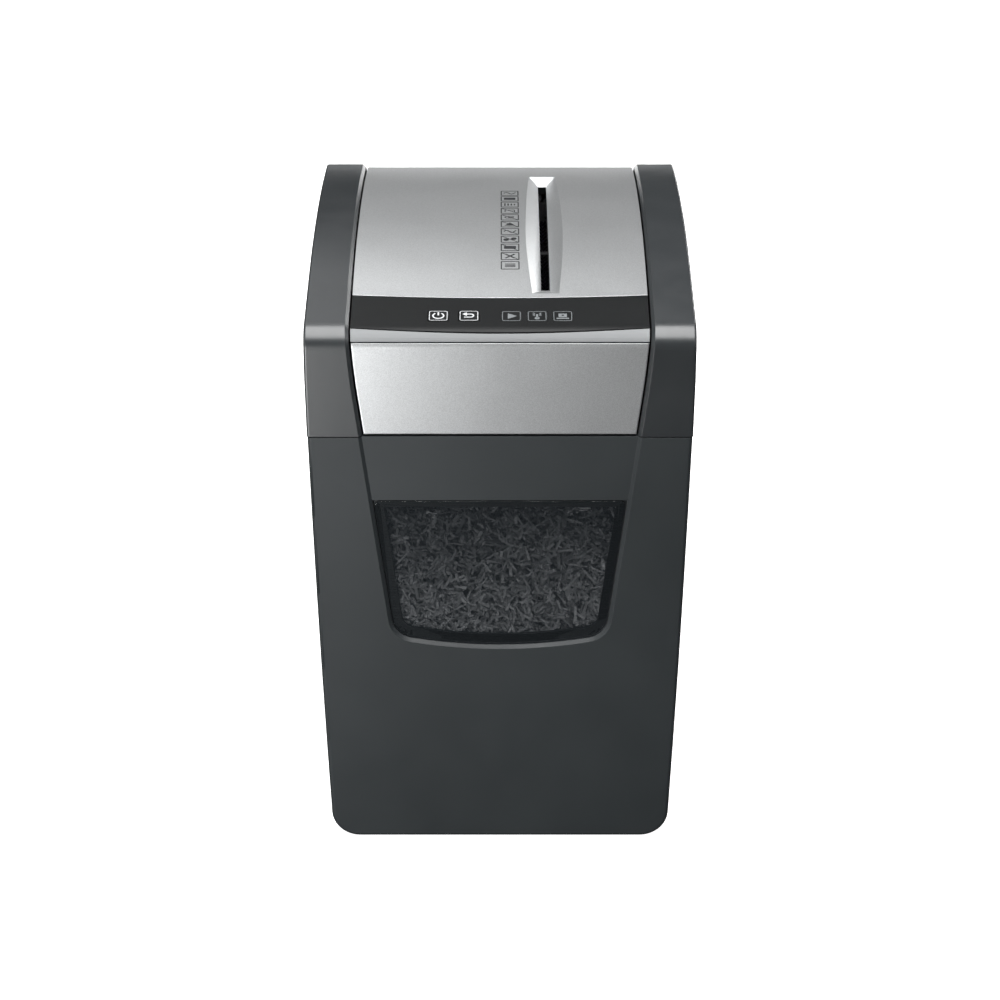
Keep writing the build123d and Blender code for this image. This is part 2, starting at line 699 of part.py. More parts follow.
with BuildPart() as cutter_plate_rear:
    with BuildSketch(across(rear_plate_y + plate_thickness)):
        with Locations((rear_frame_left, deck_z)):
            Rectangle(frame_right - rear_frame_left, plate_top_z - deck_z, align=Align.MIN)
        with Locations(left_shaft, right_shaft):
            Circle(bush_radius, mode=Mode.SUBTRACT)
        with Locations(*tie_rod_points):
            Circle(tie_rod_radius - 1, mode=Mode.SUBTRACT)
        with Locations(axle_1, axle_2):
            Circle(axle_radius, mode=Mode.SUBTRACT)
        with Locations(motor_center):
            Circle(7, mode=Mode.SUBTRACT)
        with Locations(*cover_screw_points):
            Circle(1.6, mode=Mode.SUBTRACT)
    extrude(amount=plate_thickness)

with BuildPart() as tie_rods:
    with BuildSketch(across(rear_plate_y)):
        with Locations(*tie_rod_points):
            Circle(tie_rod_radius)
    extrude(amount=rear_plate_y - front_plate_y)
    for face_y, reach in ((rear_plate_y, -plate_thickness - 1.5), (front_plate_y, plate_thickness + 1.5)):
        with BuildSketch(across(face_y)):
            with Locations(*tie_rod_points):
                Circle(tie_rod_radius - 1)
        extrude(amount=reach)

with BuildPart() as shaft_bushes:
    for front_face_y in (front_plate_y, rear_plate_y + plate_thickness):
        with BuildSketch(across(front_face_y)):
            with Locations(left_shaft, right_shaft):
                Circle(bush_radius)
                Circle(journal_radius + running_clearance, mode=Mode.SUBTRACT)
        extrude(amount=plate_thickness)


def add_cutter(shaft, first_y, journal_front_y, journal_rear_y, twist):
    """Solid roller with a row of notched discs, added to the part under construction."""
    with BuildSketch(around(shaft, core_rear_y)) as core:
        Circle(core_radius)
    extrude(core.sketch, amount=core_rear_y - core_front_y)
    with BuildSketch(around(shaft, journal_rear_y)) as journal:
        Circle(journal_radius)
    extrude(journal.sketch, amount=journal_rear_y - journal_front_y)
    for disc in range(disc_count):
        with BuildSketch(around(shaft, first_y + disc * disc_pitch + disc_thickness)) as rim:
            Circle(disc_radius)
            with PolarLocations(disc_radius + 0.4, disc_notches, start_angle=disc * twist):
                Rectangle(notch_width, notch_depth, mode=Mode.SUBTRACT)
        extrude(rim.sketch, amount=disc_thickness)


with BuildPart() as cutter_left:
    add_cutter(left_shaft, first_disc_y, sync_layer[0] - 2, final_layer[1] + 1, disc_twist)

with BuildPart() as cutter_right:
    right_journal_rear_y = rear_plate_y + plate_thickness - 0.5
    right_first_y = first_disc_y + disc_pitch / 2
    add_cutter(right_shaft, right_first_y, sync_layer[0] - 2, right_journal_rear_y, -disc_twist)


def add_comb(first_finger_y, finger_count):
    """Bar between the plates with one finger in each groove of the left-hand cutter."""
    with BuildSketch(level(shaft_z - comb_bar_height / 2)) as bar:
        with Locations((comb_bar[0], front_plate_y)):
            Rectangle(comb_bar[1] - comb_bar[0], rear_plate_y - front_plate_y, align=Align.MIN)
    extrude(bar.sketch, amount=comb_bar_height)
    with BuildSketch(level(shaft_z - finger_height / 2)) as fingers:
        for finger in range(finger_count):
            with Locations((comb_bar[0] + 1, first_finger_y + finger * disc_pitch)):
                Rectangle(finger_tip_x - comb_bar[0] - 1, disc_thickness, align=Align.MIN)
    extrude(fingers.sketch, amount=finger_height)


with BuildPart() as comb_left:
    add_comb(first_disc_y + disc_pitch / 2, disc_count - 1)

with BuildPart() as comb_right:
    add_comb(first_disc_y + disc_pitch, disc_count - 1)
    mirror(about=Plane.YZ.offset(slot_x), mode=Mode.REPLACE)

guide_bottom_z = 413.5
guide_wall = 2.0
lever_y = 9.0
lever_window = (6.0, 5.0)               # half-length and half-height of the lever's window
lever_z = 421.0
lever_pivot_x = slot_x + 13.0
lever_tip_x = slot_x - 2.2


def add_guide(inner_x, side):
    """Plate beside the paper path that reaches up to the underside of the funnel."""
    left = min(inner_x, inner_x + side * guide_wall)
    extrude(side_outline(left, panel_inset + funnel_block_depth + 0.4), amount=guide_wall)
    with BuildSketch(Plane.YZ.offset(left)) as reach:
        with Locations((front_plate_y, guide_bottom_z)):
            Rectangle(rear_plate_y - front_plate_y, 40, align=Align.MIN)
    extrude(reach.sketch, amount=guide_wall, mode=Mode.INTERSECT)


with BuildPart() as throat_guide_left:
    add_guide(slot_x - slot_width / 2, -1)

with BuildPart() as throat_guide_right:
    add_guide(slot_x + slot_width / 2, 1)
    with BuildSketch(Plane.YZ.offset(slot_x)):
        with Locations((lever_y, lever_z)):
            Rectangle(2 * lever_window[0], 2 * lever_window[1])
    extrude(amount=10, mode=Mode.SUBTRACT)

lever_half_length = 3.0
pin_radius = 1.2
cheek_inner, cheek_outer = 3.4, 6.4
with BuildPart() as paper_sensor_lever:
    with BuildSketch(around((lever_pivot_x, lever_z), lever_y + lever_half_length)):
        Circle(2.3)
        with Locations((lever_tip_x - lever_pivot_x, 0)):
            Rectangle(lever_pivot_x - lever_tip_x, 1.8, align=(Align.MIN, Align.CENTER))
    extrude(amount=2 * lever_half_length)
    with BuildSketch(around((lever_pivot_x, lever_z), lever_y + cheek_outer)):
        Circle(pin_radius)
    extrude(amount=2 * cheek_outer)

with BuildPart() as paper_sensor_switch:
    for cheek_y in (lever_y - cheek_outer, lever_y + cheek_inner):
        with BuildSketch(across(cheek_y + cheek_outer - cheek_inner)):
            with Locations((slot_x + slot_width / 2 + guide_wall, lever_z)):
                Rectangle(16, 6.4, align=(Align.MIN, Align.CENTER))
            with Locations((lever_pivot_x, lever_z)):
                Circle(pin_radius + running_clearance, mode=Mode.SUBTRACT)
        extrude(amount=cheek_outer - cheek_inner)
    with BuildSketch(across(lever_y + cheek_outer)):
        with Locations((lever_pivot_x + 4.0, lever_z)):
            Rectangle(10, 9, align=(Align.MIN, Align.CENTER))
    extrude(amount=2 * cheek_outer)

# ---------------------------------------------------------------------------------------------------------
# Gears
# ---------------------------------------------------------------------------------------------------------
def involute(angle):
    return tan(angle) - angle


def gear_outline(plane, teeth, module, phase, bore):
    """Spur gear with one tooth centred on the phase angle, in degrees from +X towards +Z."""
    pitch_radius = module * teeth / 2
    base_radius = pitch_radius * cos(pressure_angle)
    tip_radius = pitch_radius + addendum * module
    root_radius = pitch_radius - dedendum * module
    flank_low = max(root_radius, base_radius)
    flank_mid = (flank_low + tip_radius) / 2

    def half_tooth(radius):
        at_radius = acos(min(1.0, base_radius / radius))
        half_thickness = pi / (2 * teeth) - tooth_play / (2 * pitch_radius)
        return half_thickness + involute(pressure_angle) - involute(at_radius)

    def point(radius, angle):
        return (radius * cos(angle), radius * sin(angle))

    flank = (flank_low, flank_mid, tip_radius)
    with BuildSketch(plane) as outline:
        with BuildLine():
            for tooth in range(teeth):
                middle = radians(phase) + 2 * pi * tooth / teeth
                following = radians(phase) + 2 * pi * (tooth + 1) / teeth
                rise = [point(radius, middle - half_tooth(radius)) for radius in flank]
                fall = [point(radius, middle + half_tooth(radius)) for radius in reversed(flank)]
                root_start = point(root_radius, middle + half_tooth(flank_low))
                root_end = point(root_radius, following - half_tooth(flank_low))
                ThreePointArc(*rise)
                ThreePointArc(rise[-1], point(tip_radius, middle), fall[0])
                ThreePointArc(*fall)
                if root_radius < base_radius:
                    Line(fall[-1], root_start)
                    Line(root_end, point(flank_low, following - half_tooth(flank_low)))
                ThreePointArc(root_start, point(root_radius, (middle + following) / 2), root_end)
        make_face()
        if bore:
            Circle(bore, mode=Mode.SUBTRACT)
    return outline.sketch


def meshed_phase(direction, phase, teeth, other_teeth):
    """Phase of a gear that lies in a direction from another of a given phase, so that their teeth mesh."""
    position = (direction - phase) * teeth / 360
    return direction + 180 - (0.5 - position) * 360 / other_teeth


def add_gear(center, layer, teeth, module, phase, bore):
    extrude(gear_outline(around(center, layer[1]), teeth, module, phase, bore), amount=layer[1] - layer[0])


pinion_2_phase = meshed_phase(final_direction, 0, final_teeth, pinion_teeth)
pinion_1_phase = meshed_phase(middle_direction, 0, middle_teeth, pinion_teeth)
motor_pinion_phase = meshed_phase(motor_direction, 0, first_teeth, pinion_teeth)
axle_bore = axle_radius + running_clearance
hub_radius = 6.0

with BuildPart() as sync_gear_left:
    add_gear(left_shaft, sync_layer, sync_teeth, sync_module, 0, journal_radius)

with BuildPart() as sync_gear_right:
    sync_phase = meshed_phase(0, 0, sync_teeth, sync_teeth)
    add_gear(right_shaft, sync_layer, sync_teeth, sync_module, sync_phase, journal_radius)

with BuildPart() as final_gear:
    add_gear(left_shaft, final_layer, final_teeth, final_module, 0, journal_radius)
    # thinner web between the hub and the rim
    with BuildSketch(around(left_shaft, final_layer[1])):
        Circle(26)
        Circle(12, mode=Mode.SUBTRACT)
    extrude(amount=3, mode=Mode.SUBTRACT)

with BuildPart() as compound_gear_2:
    add_gear(axle_2, final_layer, pinion_teeth, final_module, pinion_2_phase, axle_bore)
    add_gear(axle_2, middle_layer, middle_teeth, middle_module, 0, axle_bore)
    with BuildSketch(around(axle_2, middle_layer[0])):
        Circle(hub_radius)
        Circle(axle_bore, mode=Mode.SUBTRACT)
    extrude(amount=middle_layer[0] - final_layer[1])

with BuildPart() as compound_gear_1:
    add_gear(axle_1, middle_layer, pinion_teeth, middle_module, pinion_1_phase, axle_bore)
    add_gear(axle_1, first_layer, first_teeth, first_module, 0, axle_bore)
    with BuildSketch(around(axle_1, first_layer[0])):
        Circle(hub_radius)
        Circle(axle_bore, mode=Mode.SUBTRACT)
    extrude(amount=first_layer[0] - middle_layer[1])

cover_wall = 2.0
cover_left, cover_right, cover_bottom, cover_top = -97.5, 53.5, 357.0, 431.4
with BuildPart() as gear_cover:
    cover_front_y = rear_plate_y + plate_thickness
    cover_depth = gear_cover_back_y - cover_front_y
    cover_center = ((cover_left + cover_right) / 2, (cover_bottom + cover_top) / 2)
    with BuildSketch(across(gear_cover_back_y)):
        with Locations(cover_center):
            RectangleRounded(cover_right - cover_left, cover_top - cover_bottom, 10)
    extrude(amount=cover_depth)
    fillet(gear_cover.faces().sort_by(Axis.Y)[-1].edges(), radius=1.8)
    with BuildSketch(across(cover_front_y + 2)):
        with Locations((cover_flange[0], cover_flange[2])):
            Rectangle(cover_flange[1] - cover_flange[0], cover_flange[3] - cover_flange[2], align=Align.MIN)
    extrude(amount=2)
    with BuildSketch(across(gear_cover_back_y - cover_wall)):
        with Locations(cover_center):
            RectangleRounded(cover_right - cover_left - 2 * cover_wall,
                             cover_top - cover_bottom - 2 * cover_wall, 8)
    extrude(amount=cover_depth, mode=Mode.SUBTRACT)
    with BuildSketch(across(gear_cover_back_y + 1)):
        with Locations(axle_1, axle_2):
            Circle(axle_radius)
        with Locations(*cover_screw_points):
            Circle(1.7)
    extrude(amount=cover_depth + 2, mode=Mode.SUBTRACT)
    # notch in the front rim that clears the funnel
    with BuildSketch(across(funnel_block_rear_y + 0.4)):
        with Locations((slot_x - funnel_block_half_width - 1, cover_top - 6)):
            Rectangle(2 * funnel_block_half_width + 8, 10, align=Align.MIN)
    extrude(amount=10, mode=Mode.SUBTRACT)

with BuildPart() as gear_cover_screws:
    with BuildSketch(across(cover_front_y + 4)):
        with Locations(*cover_screw_points):
            Circle(3.0)
    extrude(amount=2)
    with BuildSketch(across(cover_front_y + 3)):
        with Locations(*cover_screw_points):
            Circle(1.5)
    extrude(amount=3 + plate_thickness)

with BuildPart() as gear_axles:
    with BuildSketch(across(gear_cover_back_y)):
        with Locations(axle_1, axle_2):
            Circle(axle_radius)
    extrude(amount=gear_cover_back_y - rear_plate_y)

# ---------------------------------------------------------------------------------------------------------
# Motor
# ---------------------------------------------------------------------------------------------------------
cap_thickness = 4.0
shaft_bore = shaft_rod_radius + running_clearance
with BuildPart() as motor_housing:
    with BuildSketch(around(motor_center, rear_plate_y)):
        Circle(motor_radius)
    extrude(amount=rear_plate_y - motor_front_y)
    with BuildSketch(around(motor_center, rear_plate_y - motor_wall)):
        Circle(motor_radius - motor_wall)
    extrude(amount=rear_plate_y - motor_front_y, mode=Mode.SUBTRACT)
    with BuildSketch(around(motor_center, rear_plate_y + 1)):
        Circle(shaft_bore)
    extrude(amount=motor_wall + 2, mode=Mode.SUBTRACT)

with BuildPart() as motor_end_cap:
    with BuildSketch(around(motor_center, motor_front_y)):
        Circle(motor_radius)
    extrude(amount=cap_thickness)
    fillet(motor_end_cap.faces().sort_by(Axis.Y)[0].edges(), radius=1.5)
    with BuildSketch(around(motor_center, motor_front_y + 1)):
        Circle(shaft_bore)
    extrude(amount=cap_thickness + 2, mode=Mode.SUBTRACT)

with BuildPart() as motor_bracket:
    for saddle_y in (58.0, 112.0):
        with BuildSketch(across(saddle_y)):
            with Locations((motor_center[0], deck_z)):
                Rectangle(48, 22, align=(Align.CENTER, Align.MIN))
            with Locations(motor_center):
                Circle(motor_radius, mode=Mode.SUBTRACT)
        extrude(amount=8)

with BuildPart() as motor_shaft:
    with BuildSketch(around(motor_center, first_layer[1] + 1)):
        Circle(shaft_rod_radius)
    extrude(amount=first_layer[1] + 1 - (motor_front_y - cap_thickness - 2))

with BuildPart() as motor_pinion:
    add_gear(motor_center, first_layer, pinion_teeth, first_module, motor_pinion_phase, shaft_rod_radius)

with BuildPart() as rotor_core:
    with BuildSketch(around(motor_center, 100)):
        Circle(rotor_radius)
        Circle(shaft_rod_radius, mode=Mode.SUBTRACT)
        with PolarLocations(rotor_radius, 12):
            Rectangle(7, 2.2, mode=Mode.SUBTRACT)
    extrude(amount=48)

with BuildPart() as commutator:
    with BuildSketch(around(motor_center, 50)):
        Circle(9)
        Circle(shaft_rod_radius, mode=Mode.SUBTRACT)
        with PolarLocations(9, 12):
            Rectangle(2, 0.8, mode=Mode.SUBTRACT)
    extrude(amount=11)

with BuildPart() as cooling_fan:
    with BuildSketch(around(motor_center, 117)):
        Circle(8)
        with PolarLocations(14, 9):
            Rectangle(16, 1.6)
        Circle(shaft_rod_radius, mode=Mode.SUBTRACT)
    extrude(amount=11)
    with BuildSketch(around(motor_center, 106)):
        Circle(22)
        Circle(shaft_rod_radius, mode=Mode.SUBTRACT)
    extrude(amount=1.5)

with BuildPart() as thermal_cutout:
    with BuildSketch(across(80)):
        with Locations((motor_center[0], motor_center[1] + motor_radius - 2)):
            Rectangle(13, 6.5, align=(Align.CENTER, Align.MIN))
        with Locations(motor_center):
            Circle(motor_radius, mode=Mode.SUBTRACT)
    extrude(amount=18)

# ---------------------------------------------------------------------------------------------------------
# Electronics and controls
# ---------------------------------------------------------------------------------------------------------
pcb_thickness = 1.6
with BuildPart() as main_board:
    with BuildSketch(level(deck_z + standoff_height)):
        with Locations(board_center):
            Rectangle(*board_size)
    extrude(amount=pcb_thickness)

board_top_z = deck_z + standoff_height + pcb_thickness
relay = ((-88, -20), (20, 16, 19))      # each part's centre, and its length, breadth and height
film_capacitor = ((-88, -48), (26, 11, 16))
mains_connector = ((-50, -78), (34, 13, 12))
fuse_holder = ((-86, -78), (22, 7, 9))
electrolytics = (((-48, -42), 9, 24), ((-48, -18), 6.5, 18), ((-66, -2), 5, 14))    # centre, radius, height

with BuildPart() as board_components:
    for (x, y), (length, breadth, height) in (relay, film_capacitor, mains_connector, fuse_holder):
        with BuildSketch(level(board_top_z)):
            with Locations((x, y)):
                RectangleRounded(length, breadth, 1.2)
        extrude(amount=height)
    for (x, y), radius, height in electrolytics:
        with BuildSketch(level(board_top_z)):
            with Locations((x, y)):
                Circle(radius)
        extrude(amount=height)

with BuildPart() as control_board:
    with BuildSketch(on_ramp(0, board_depth)):
        Rectangle(board_width, board_length)
    extrude(amount=-pcb_thickness)

with BuildPart() as key_switches:
    for x in key_x.values():
        with BuildSketch(on_ramp(x, board_depth)):
            Rectangle(6, 6)
        extrude(amount=2.4)
        with BuildSketch(on_ramp(x, board_depth - 2.4)):
            Circle(1.6)
        extrude(amount=0.6)


def add_key(x):
    """Flush key: cap, retaining flange under the panel and a stem above its switch."""
    with BuildSketch(on_ramp(x, 2.7)) as cap:
        RectangleRounded(key_size, key_size, key_corner_radius)
    extrude(cap.sketch, amount=3.0)
    with BuildSketch(on_ramp(x, 3.9)) as flange:
        RectangleRounded(key_size + 2.6, key_size + 2.6, key_corner_radius)
    extrude(flange.sketch, amount=1.2)
    with BuildSketch(on_ramp(x, 6.9)) as stem:
        Rectangle(4, 4)
    extrude(stem.sketch, amount=3.0)


with BuildPart() as power_button:
    add_key(key_x["power_button"])
    fillet(power_button.faces().sort_by(Axis.Z)[-1].edges(), radius=0.4)

with BuildPart() as reverse_button:
    add_key(key_x["reverse_button"])
    fillet(reverse_button.faces().sort_by(Axis.Z)[-1].edges(), radius=0.4)

rocker_axis_y = rear_y - panel_inset - 6.0
with BuildPart() as rocker_switch_body:
    with BuildSketch(across(rear_y - 0.4)):
        with Locations((rocker_x, rocker_z)):
            RectangleRounded(22, 31, 2)
    extrude(amount=rear_y - 0.4 - (rear_y - panel_inset))
    with BuildSketch(across(rear_y - panel_inset)):
        with Locations((rocker_x, rocker_z)):
            Rectangle(17.6, 26.6)
    extrude(amount=22)
    with BuildSketch(across(rear_y)):
        with Locations((rocker_x, rocker_z)):
            Rectangle(14.4, 23.6)
    extrude(amount=20, mode=Mode.SUBTRACT)
    with BuildSketch(Plane.YZ.offset(rocker_x - 8.8)):
        with Locations((rocker_axis_y, rocker_z)):
            Circle(2.0 + running_clearance)
    extrude(amount=17.6, mode=Mode.SUBTRACT)

with BuildPart() as rocker_key:
    key_plane = Plane(origin=(rocker_x - 6.9, rocker_axis_y, rocker_z), x_dir=(0, cos(radians(rocker_tilt)),
                      sin(radians(rocker_tilt))), z_dir=(1, 0, 0))
    with BuildSketch(key_plane):
        Circle(rocker_radius)
        Polygon((-12, -12), (7.6, -12), (5.6, 0), (7.6, 12), (-12, 12), align=None, mode=Mode.INTERSECT)
    extrude(amount=13.8)
    with BuildSketch(Plane.YZ.offset(rocker_x - 8.8)):
        with Locations((rocker_axis_y, rocker_z)):
            Circle(2.0)
    extrude(amount=17.6)

with BuildPart() as cord_gland:
    with BuildSketch(across(rear_y - 0.6)):
        with Locations((gland_x, gland_z)):
            Circle(9)
    extrude(amount=panel_inset - 0.6)
    with BuildSketch(across(rear_y - panel_inset)):
        with Locations((gland_x, gland_z)):
            Circle(6)
    extrude(amount=12)
    with BuildSketch(across(rear_y)):
        with Locations((gland_x, gland_z)):
            Circle(3.5)
    extrude(amount=20, mode=Mode.SUBTRACT)
    fillet(cord_gland.faces().sort_by(Axis.Y)[-1].edges(), radius=0.6)

# ---------------------------------------------------------------------------------------------------------
# Export
# ---------------------------------------------------------------------------------------------------------
pieces = {
    "cabinet_shell": cabinet_shell, "bin_rails": bin_rails, "rubber_feet": rubber_feet,
    "reed_switch": reed_switch,
    "bin_front": bin_front, "bin_window": bin_window, "bin_tub": bin_tub, "bin_screws": bin_screws,
    "bin_magnet": bin_magnet, "head_chassis": head_chassis, "chassis_screws": chassis_screws,
    "right_side_frame": right_side_frame, "left_side_frame": left_side_frame, "top_panel": top_panel,
    "control_panel": control_panel, "trim_strip": trim_strip, "front_panel": front_panel,
    "indicator_lenses": indicator_lenses, "rear_cover": rear_cover, "rear_cover_screws": rear_cover_screws,
    "cutter_plate_front": cutter_plate_front, "cutter_plate_rear": cutter_plate_rear, "tie_rods": tie_rods,
    "shaft_bushes": shaft_bushes, "cutter_left": cutter_left, "cutter_right": cutter_right,
    "comb_left": comb_left, "comb_right": comb_right, "throat_guide_left": throat_guide_left,
    "throat_guide_right": throat_guide_right, "paper_sensor_lever": paper_sensor_lever,
    "paper_sensor_switch": paper_sensor_switch, "sync_gear_left": sync_gear_left,
    "sync_gear_right": sync_gear_right, "final_gear": final_gear, "compound_gear_2": compound_gear_2,
    "compound_gear_1": compound_gear_1, "gear_cover": gear_cover, "gear_cover_screws": gear_cover_screws,
    "gear_axles": gear_axles, "motor_housing": motor_housing, "motor_end_cap": motor_end_cap,
    "motor_bracket": motor_bracket, "motor_shaft": motor_shaft, "motor_pinion": motor_pinion,
    "rotor_core": rotor_core, "commutator": commutator, "cooling_fan": cooling_fan,
    "thermal_cutout": thermal_cutout, "main_board": main_board, "board_components": board_components,
    "control_board": control_board, "key_switches": key_switches, "power_button": power_button,
    "reverse_button": reverse_button, "rocker_switch_body": rocker_switch_body, "rocker_key": rocker_key,
    "cord_gland": cord_gland,
}
for name, piece in pieces.items():
    piece.part.label = name
    export_step(piece.part, f"parts/{name}.step")
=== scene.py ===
import json
import math
import random

import bmesh
import bpy
from mathutils import Matrix, Vector
from mathutils.bvhtree import BVHTree


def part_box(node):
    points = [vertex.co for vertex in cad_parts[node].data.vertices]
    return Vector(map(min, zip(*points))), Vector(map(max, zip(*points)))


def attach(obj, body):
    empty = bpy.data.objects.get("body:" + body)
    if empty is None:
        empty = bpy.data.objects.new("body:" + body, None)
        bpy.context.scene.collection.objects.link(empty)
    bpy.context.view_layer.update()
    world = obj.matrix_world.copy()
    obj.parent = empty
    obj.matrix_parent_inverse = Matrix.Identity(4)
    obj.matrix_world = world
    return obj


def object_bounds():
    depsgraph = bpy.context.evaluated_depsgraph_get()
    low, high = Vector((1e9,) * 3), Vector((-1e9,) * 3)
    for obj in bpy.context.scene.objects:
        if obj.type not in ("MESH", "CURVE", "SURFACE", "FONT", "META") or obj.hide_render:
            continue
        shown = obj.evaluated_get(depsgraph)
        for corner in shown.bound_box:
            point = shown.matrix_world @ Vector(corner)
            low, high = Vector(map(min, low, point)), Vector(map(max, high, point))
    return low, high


# Looks of a narrow paper shredder: materials for every CAD piece, shredded paper behind the window, icons on
# the control band and beside the slot, a pale floor, soft studio light, and a camera ahead of and above the
# machine. Lengths are in metres.

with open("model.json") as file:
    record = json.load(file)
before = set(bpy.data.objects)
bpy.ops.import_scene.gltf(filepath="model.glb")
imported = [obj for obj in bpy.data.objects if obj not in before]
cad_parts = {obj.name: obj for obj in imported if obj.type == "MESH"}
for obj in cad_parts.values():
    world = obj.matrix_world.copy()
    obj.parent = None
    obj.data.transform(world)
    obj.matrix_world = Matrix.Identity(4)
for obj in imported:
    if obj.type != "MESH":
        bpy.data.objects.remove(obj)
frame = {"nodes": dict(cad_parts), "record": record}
cad_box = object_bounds()
nodes = frame["nodes"]
MM = 0.001
slot_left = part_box("throat_guide_left")[1].x
slot_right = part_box("throat_guide_right")[0].x
slot_middle = (slot_left + slot_right) / 2


# ---------------------------------------------------------------------------------------------------------
# Node graph helpers
# ---------------------------------------------------------------------------------------------------------
def srgb(*channels):
    """Linear colour of an 8-bit sRGB triple, or of one grey level."""
    levels = [v / 255 for v in (channels if len(channels) == 3 else channels * 3)]
    return tuple(c / 12.92 if c <= 0.04045 else ((c + 0.055) / 1.055) ** 2.4 for c in levels)


class Graph:
    """Short way to build a material's node tree."""

    def __init__(self, name):
        self.material = bpy.data.materials.new(name)
        self.material.use_nodes = True
        self.tree = self.material.node_tree
        self.shader = self.tree.nodes["Principled BSDF"]
        self.coords = self.add("ShaderNodeTexCoord").outputs["Object"]

    def add(self, kind, inputs=None, **settings):
        node = self.tree.nodes.new(kind)
        for key, value in settings.items():
            setattr(node, key, value)
        for key, value in (inputs or {}).items():
            if isinstance(value, bpy.types.NodeSocket):
                self.tree.links.new(value, node.inputs[key])
            else:
                node.inputs[key].default_value = value
        return node

    def noise(self, scale, detail=4.0, stretch=None, roughness=0.55):
        vector = self.coords
        if stretch:
            vector = self.add("ShaderNodeMapping", {"Vector": vector, "Scale": stretch}).outputs["Vector"]
        inputs = {"Vector": vector, "Scale": scale, "Detail": detail, "Roughness": roughness}
        return self.add("ShaderNodeTexNoise", inputs).outputs["Fac"]

    def remap(self, value, low, high, to_low, to_high):
        inputs = {"Value": value, "From Min": low, "From Max": high, "To Min": to_low, "To Max": to_high}
        return self.add("ShaderNodeMapRange", inputs).outputs["Result"]

    def math(self, operation, first, second=0.5):
        return self.add("ShaderNodeMath", {0: first, 1: second}, operation=operation).outputs[0]

    def mix(self, factor, first, second):
        node = self.add("ShaderNodeMix", {0: factor}, data_type="RGBA")
        for socket, value in ((node.inputs[6], first), (node.inputs[7], second)):
            if isinstance(value, bpy.types.NodeSocket):
                self.tree.links.new(value, socket)
            else:
                socket.default_value = (*value, 1.0)
        return node.outputs[2]

    def edge(self, radius, low=0.02, high=0.25):
        """1 along convex and concave edges, 0 on open surfaces."""
        bevel = self.add("ShaderNodeBevel", {"Radius": radius}, samples=4).outputs["Normal"]
        flat = self.add("ShaderNodeNewGeometry").outputs["Normal"]
        dot = self.add("ShaderNodeVectorMath", {0: bevel, 1: flat}, operation="DOT_PRODUCT").outputs["Value"]
        return self.remap(dot, 1 - low, 1 - high, 0.0, 1.0)

    def bump(self, height, strength, distance, normal=None):
        inputs = {"Height": height, "Strength": strength, "Distance": distance}
        if normal:
            inputs["Normal"] = normal
        return self.add("ShaderNodeBump", inputs).outputs["Normal"]

    def set(self, **inputs):
        for key, value in inputs.items():
            socket = self.shader.inputs[key.replace("_", " ")]
            if isinstance(value, bpy.types.NodeSocket):
                self.tree.links.new(value, socket)
            elif socket.type == "RGBA":
                socket.default_value = (*value, 1.0)
            else:
                socket.default_value = value
        return self


# ---------------------------------------------------------------------------------------------------------
# Materials
# ---------------------------------------------------------------------------------------------------------
SOFT_EDGE = 0.0004                      # rounding of moulded edges in the shading
GRAIN_DEPTH = 0.00002
PAINT_EDGE = 0.0005                     # rounding of painted edges in the shading
PAINT_ROUGHNESS = 0.36
PAINT_METALLIC = 0.82
FLAKE_SCALE = 2600.0
METAL_LINES = 900.0
WINDOW_ROUGHNESS = (0.05, 0.10)
LEVEL_FACE = 0.8                        # least vertical share of the normal of a level face
UPRIGHT_FACE = 0.1                      # greatest vertical share of the normal of an upright face
SLIT_MARGIN = 0.0004                    # added to half of the slit's width to take in its walls
SLIT_BEHIND_BAND = 0.004                # the slit's walls lie at least this far behind the control band


def moulded(name, color, roughness, grain=1400.0, wear=0.10, ior=1.5):
    """Moulded plastic with a fine spark-eroded grain, slight colour drift, handling marks and worn edges."""
    g = Graph(name)
    drift = g.noise(6.0, detail=3.0)
    fine = g.noise(grain, detail=2.0)
    smudge = g.noise(22.0, detail=6.0, roughness=0.7)
    darker = tuple(c * 0.90 for c in color)
    lighter = tuple(min(1.0, c * 1.10 + 0.002) for c in color)
    body = g.mix(g.remap(drift, 0.3, 0.7, 0.0, 1.0), darker, lighter)
    worn = g.math("MULTIPLY", g.edge(SOFT_EDGE * 2), wear)
    body = g.mix(worn, body, tuple(min(1.0, c * 2.5 + 0.05) for c in color))
    rough = g.remap(smudge, 0.3, 0.7, roughness - 0.05, roughness + 0.05)
    rounded = g.add("ShaderNodeBevel", {"Radius": SOFT_EDGE}, samples=4).outputs["Normal"]
    g.set(Base_Color=body, Roughness=rough, Normal=g.bump(fine, 0.25, GRAIN_DEPTH, rounded), IOR=ior)
    return g.material


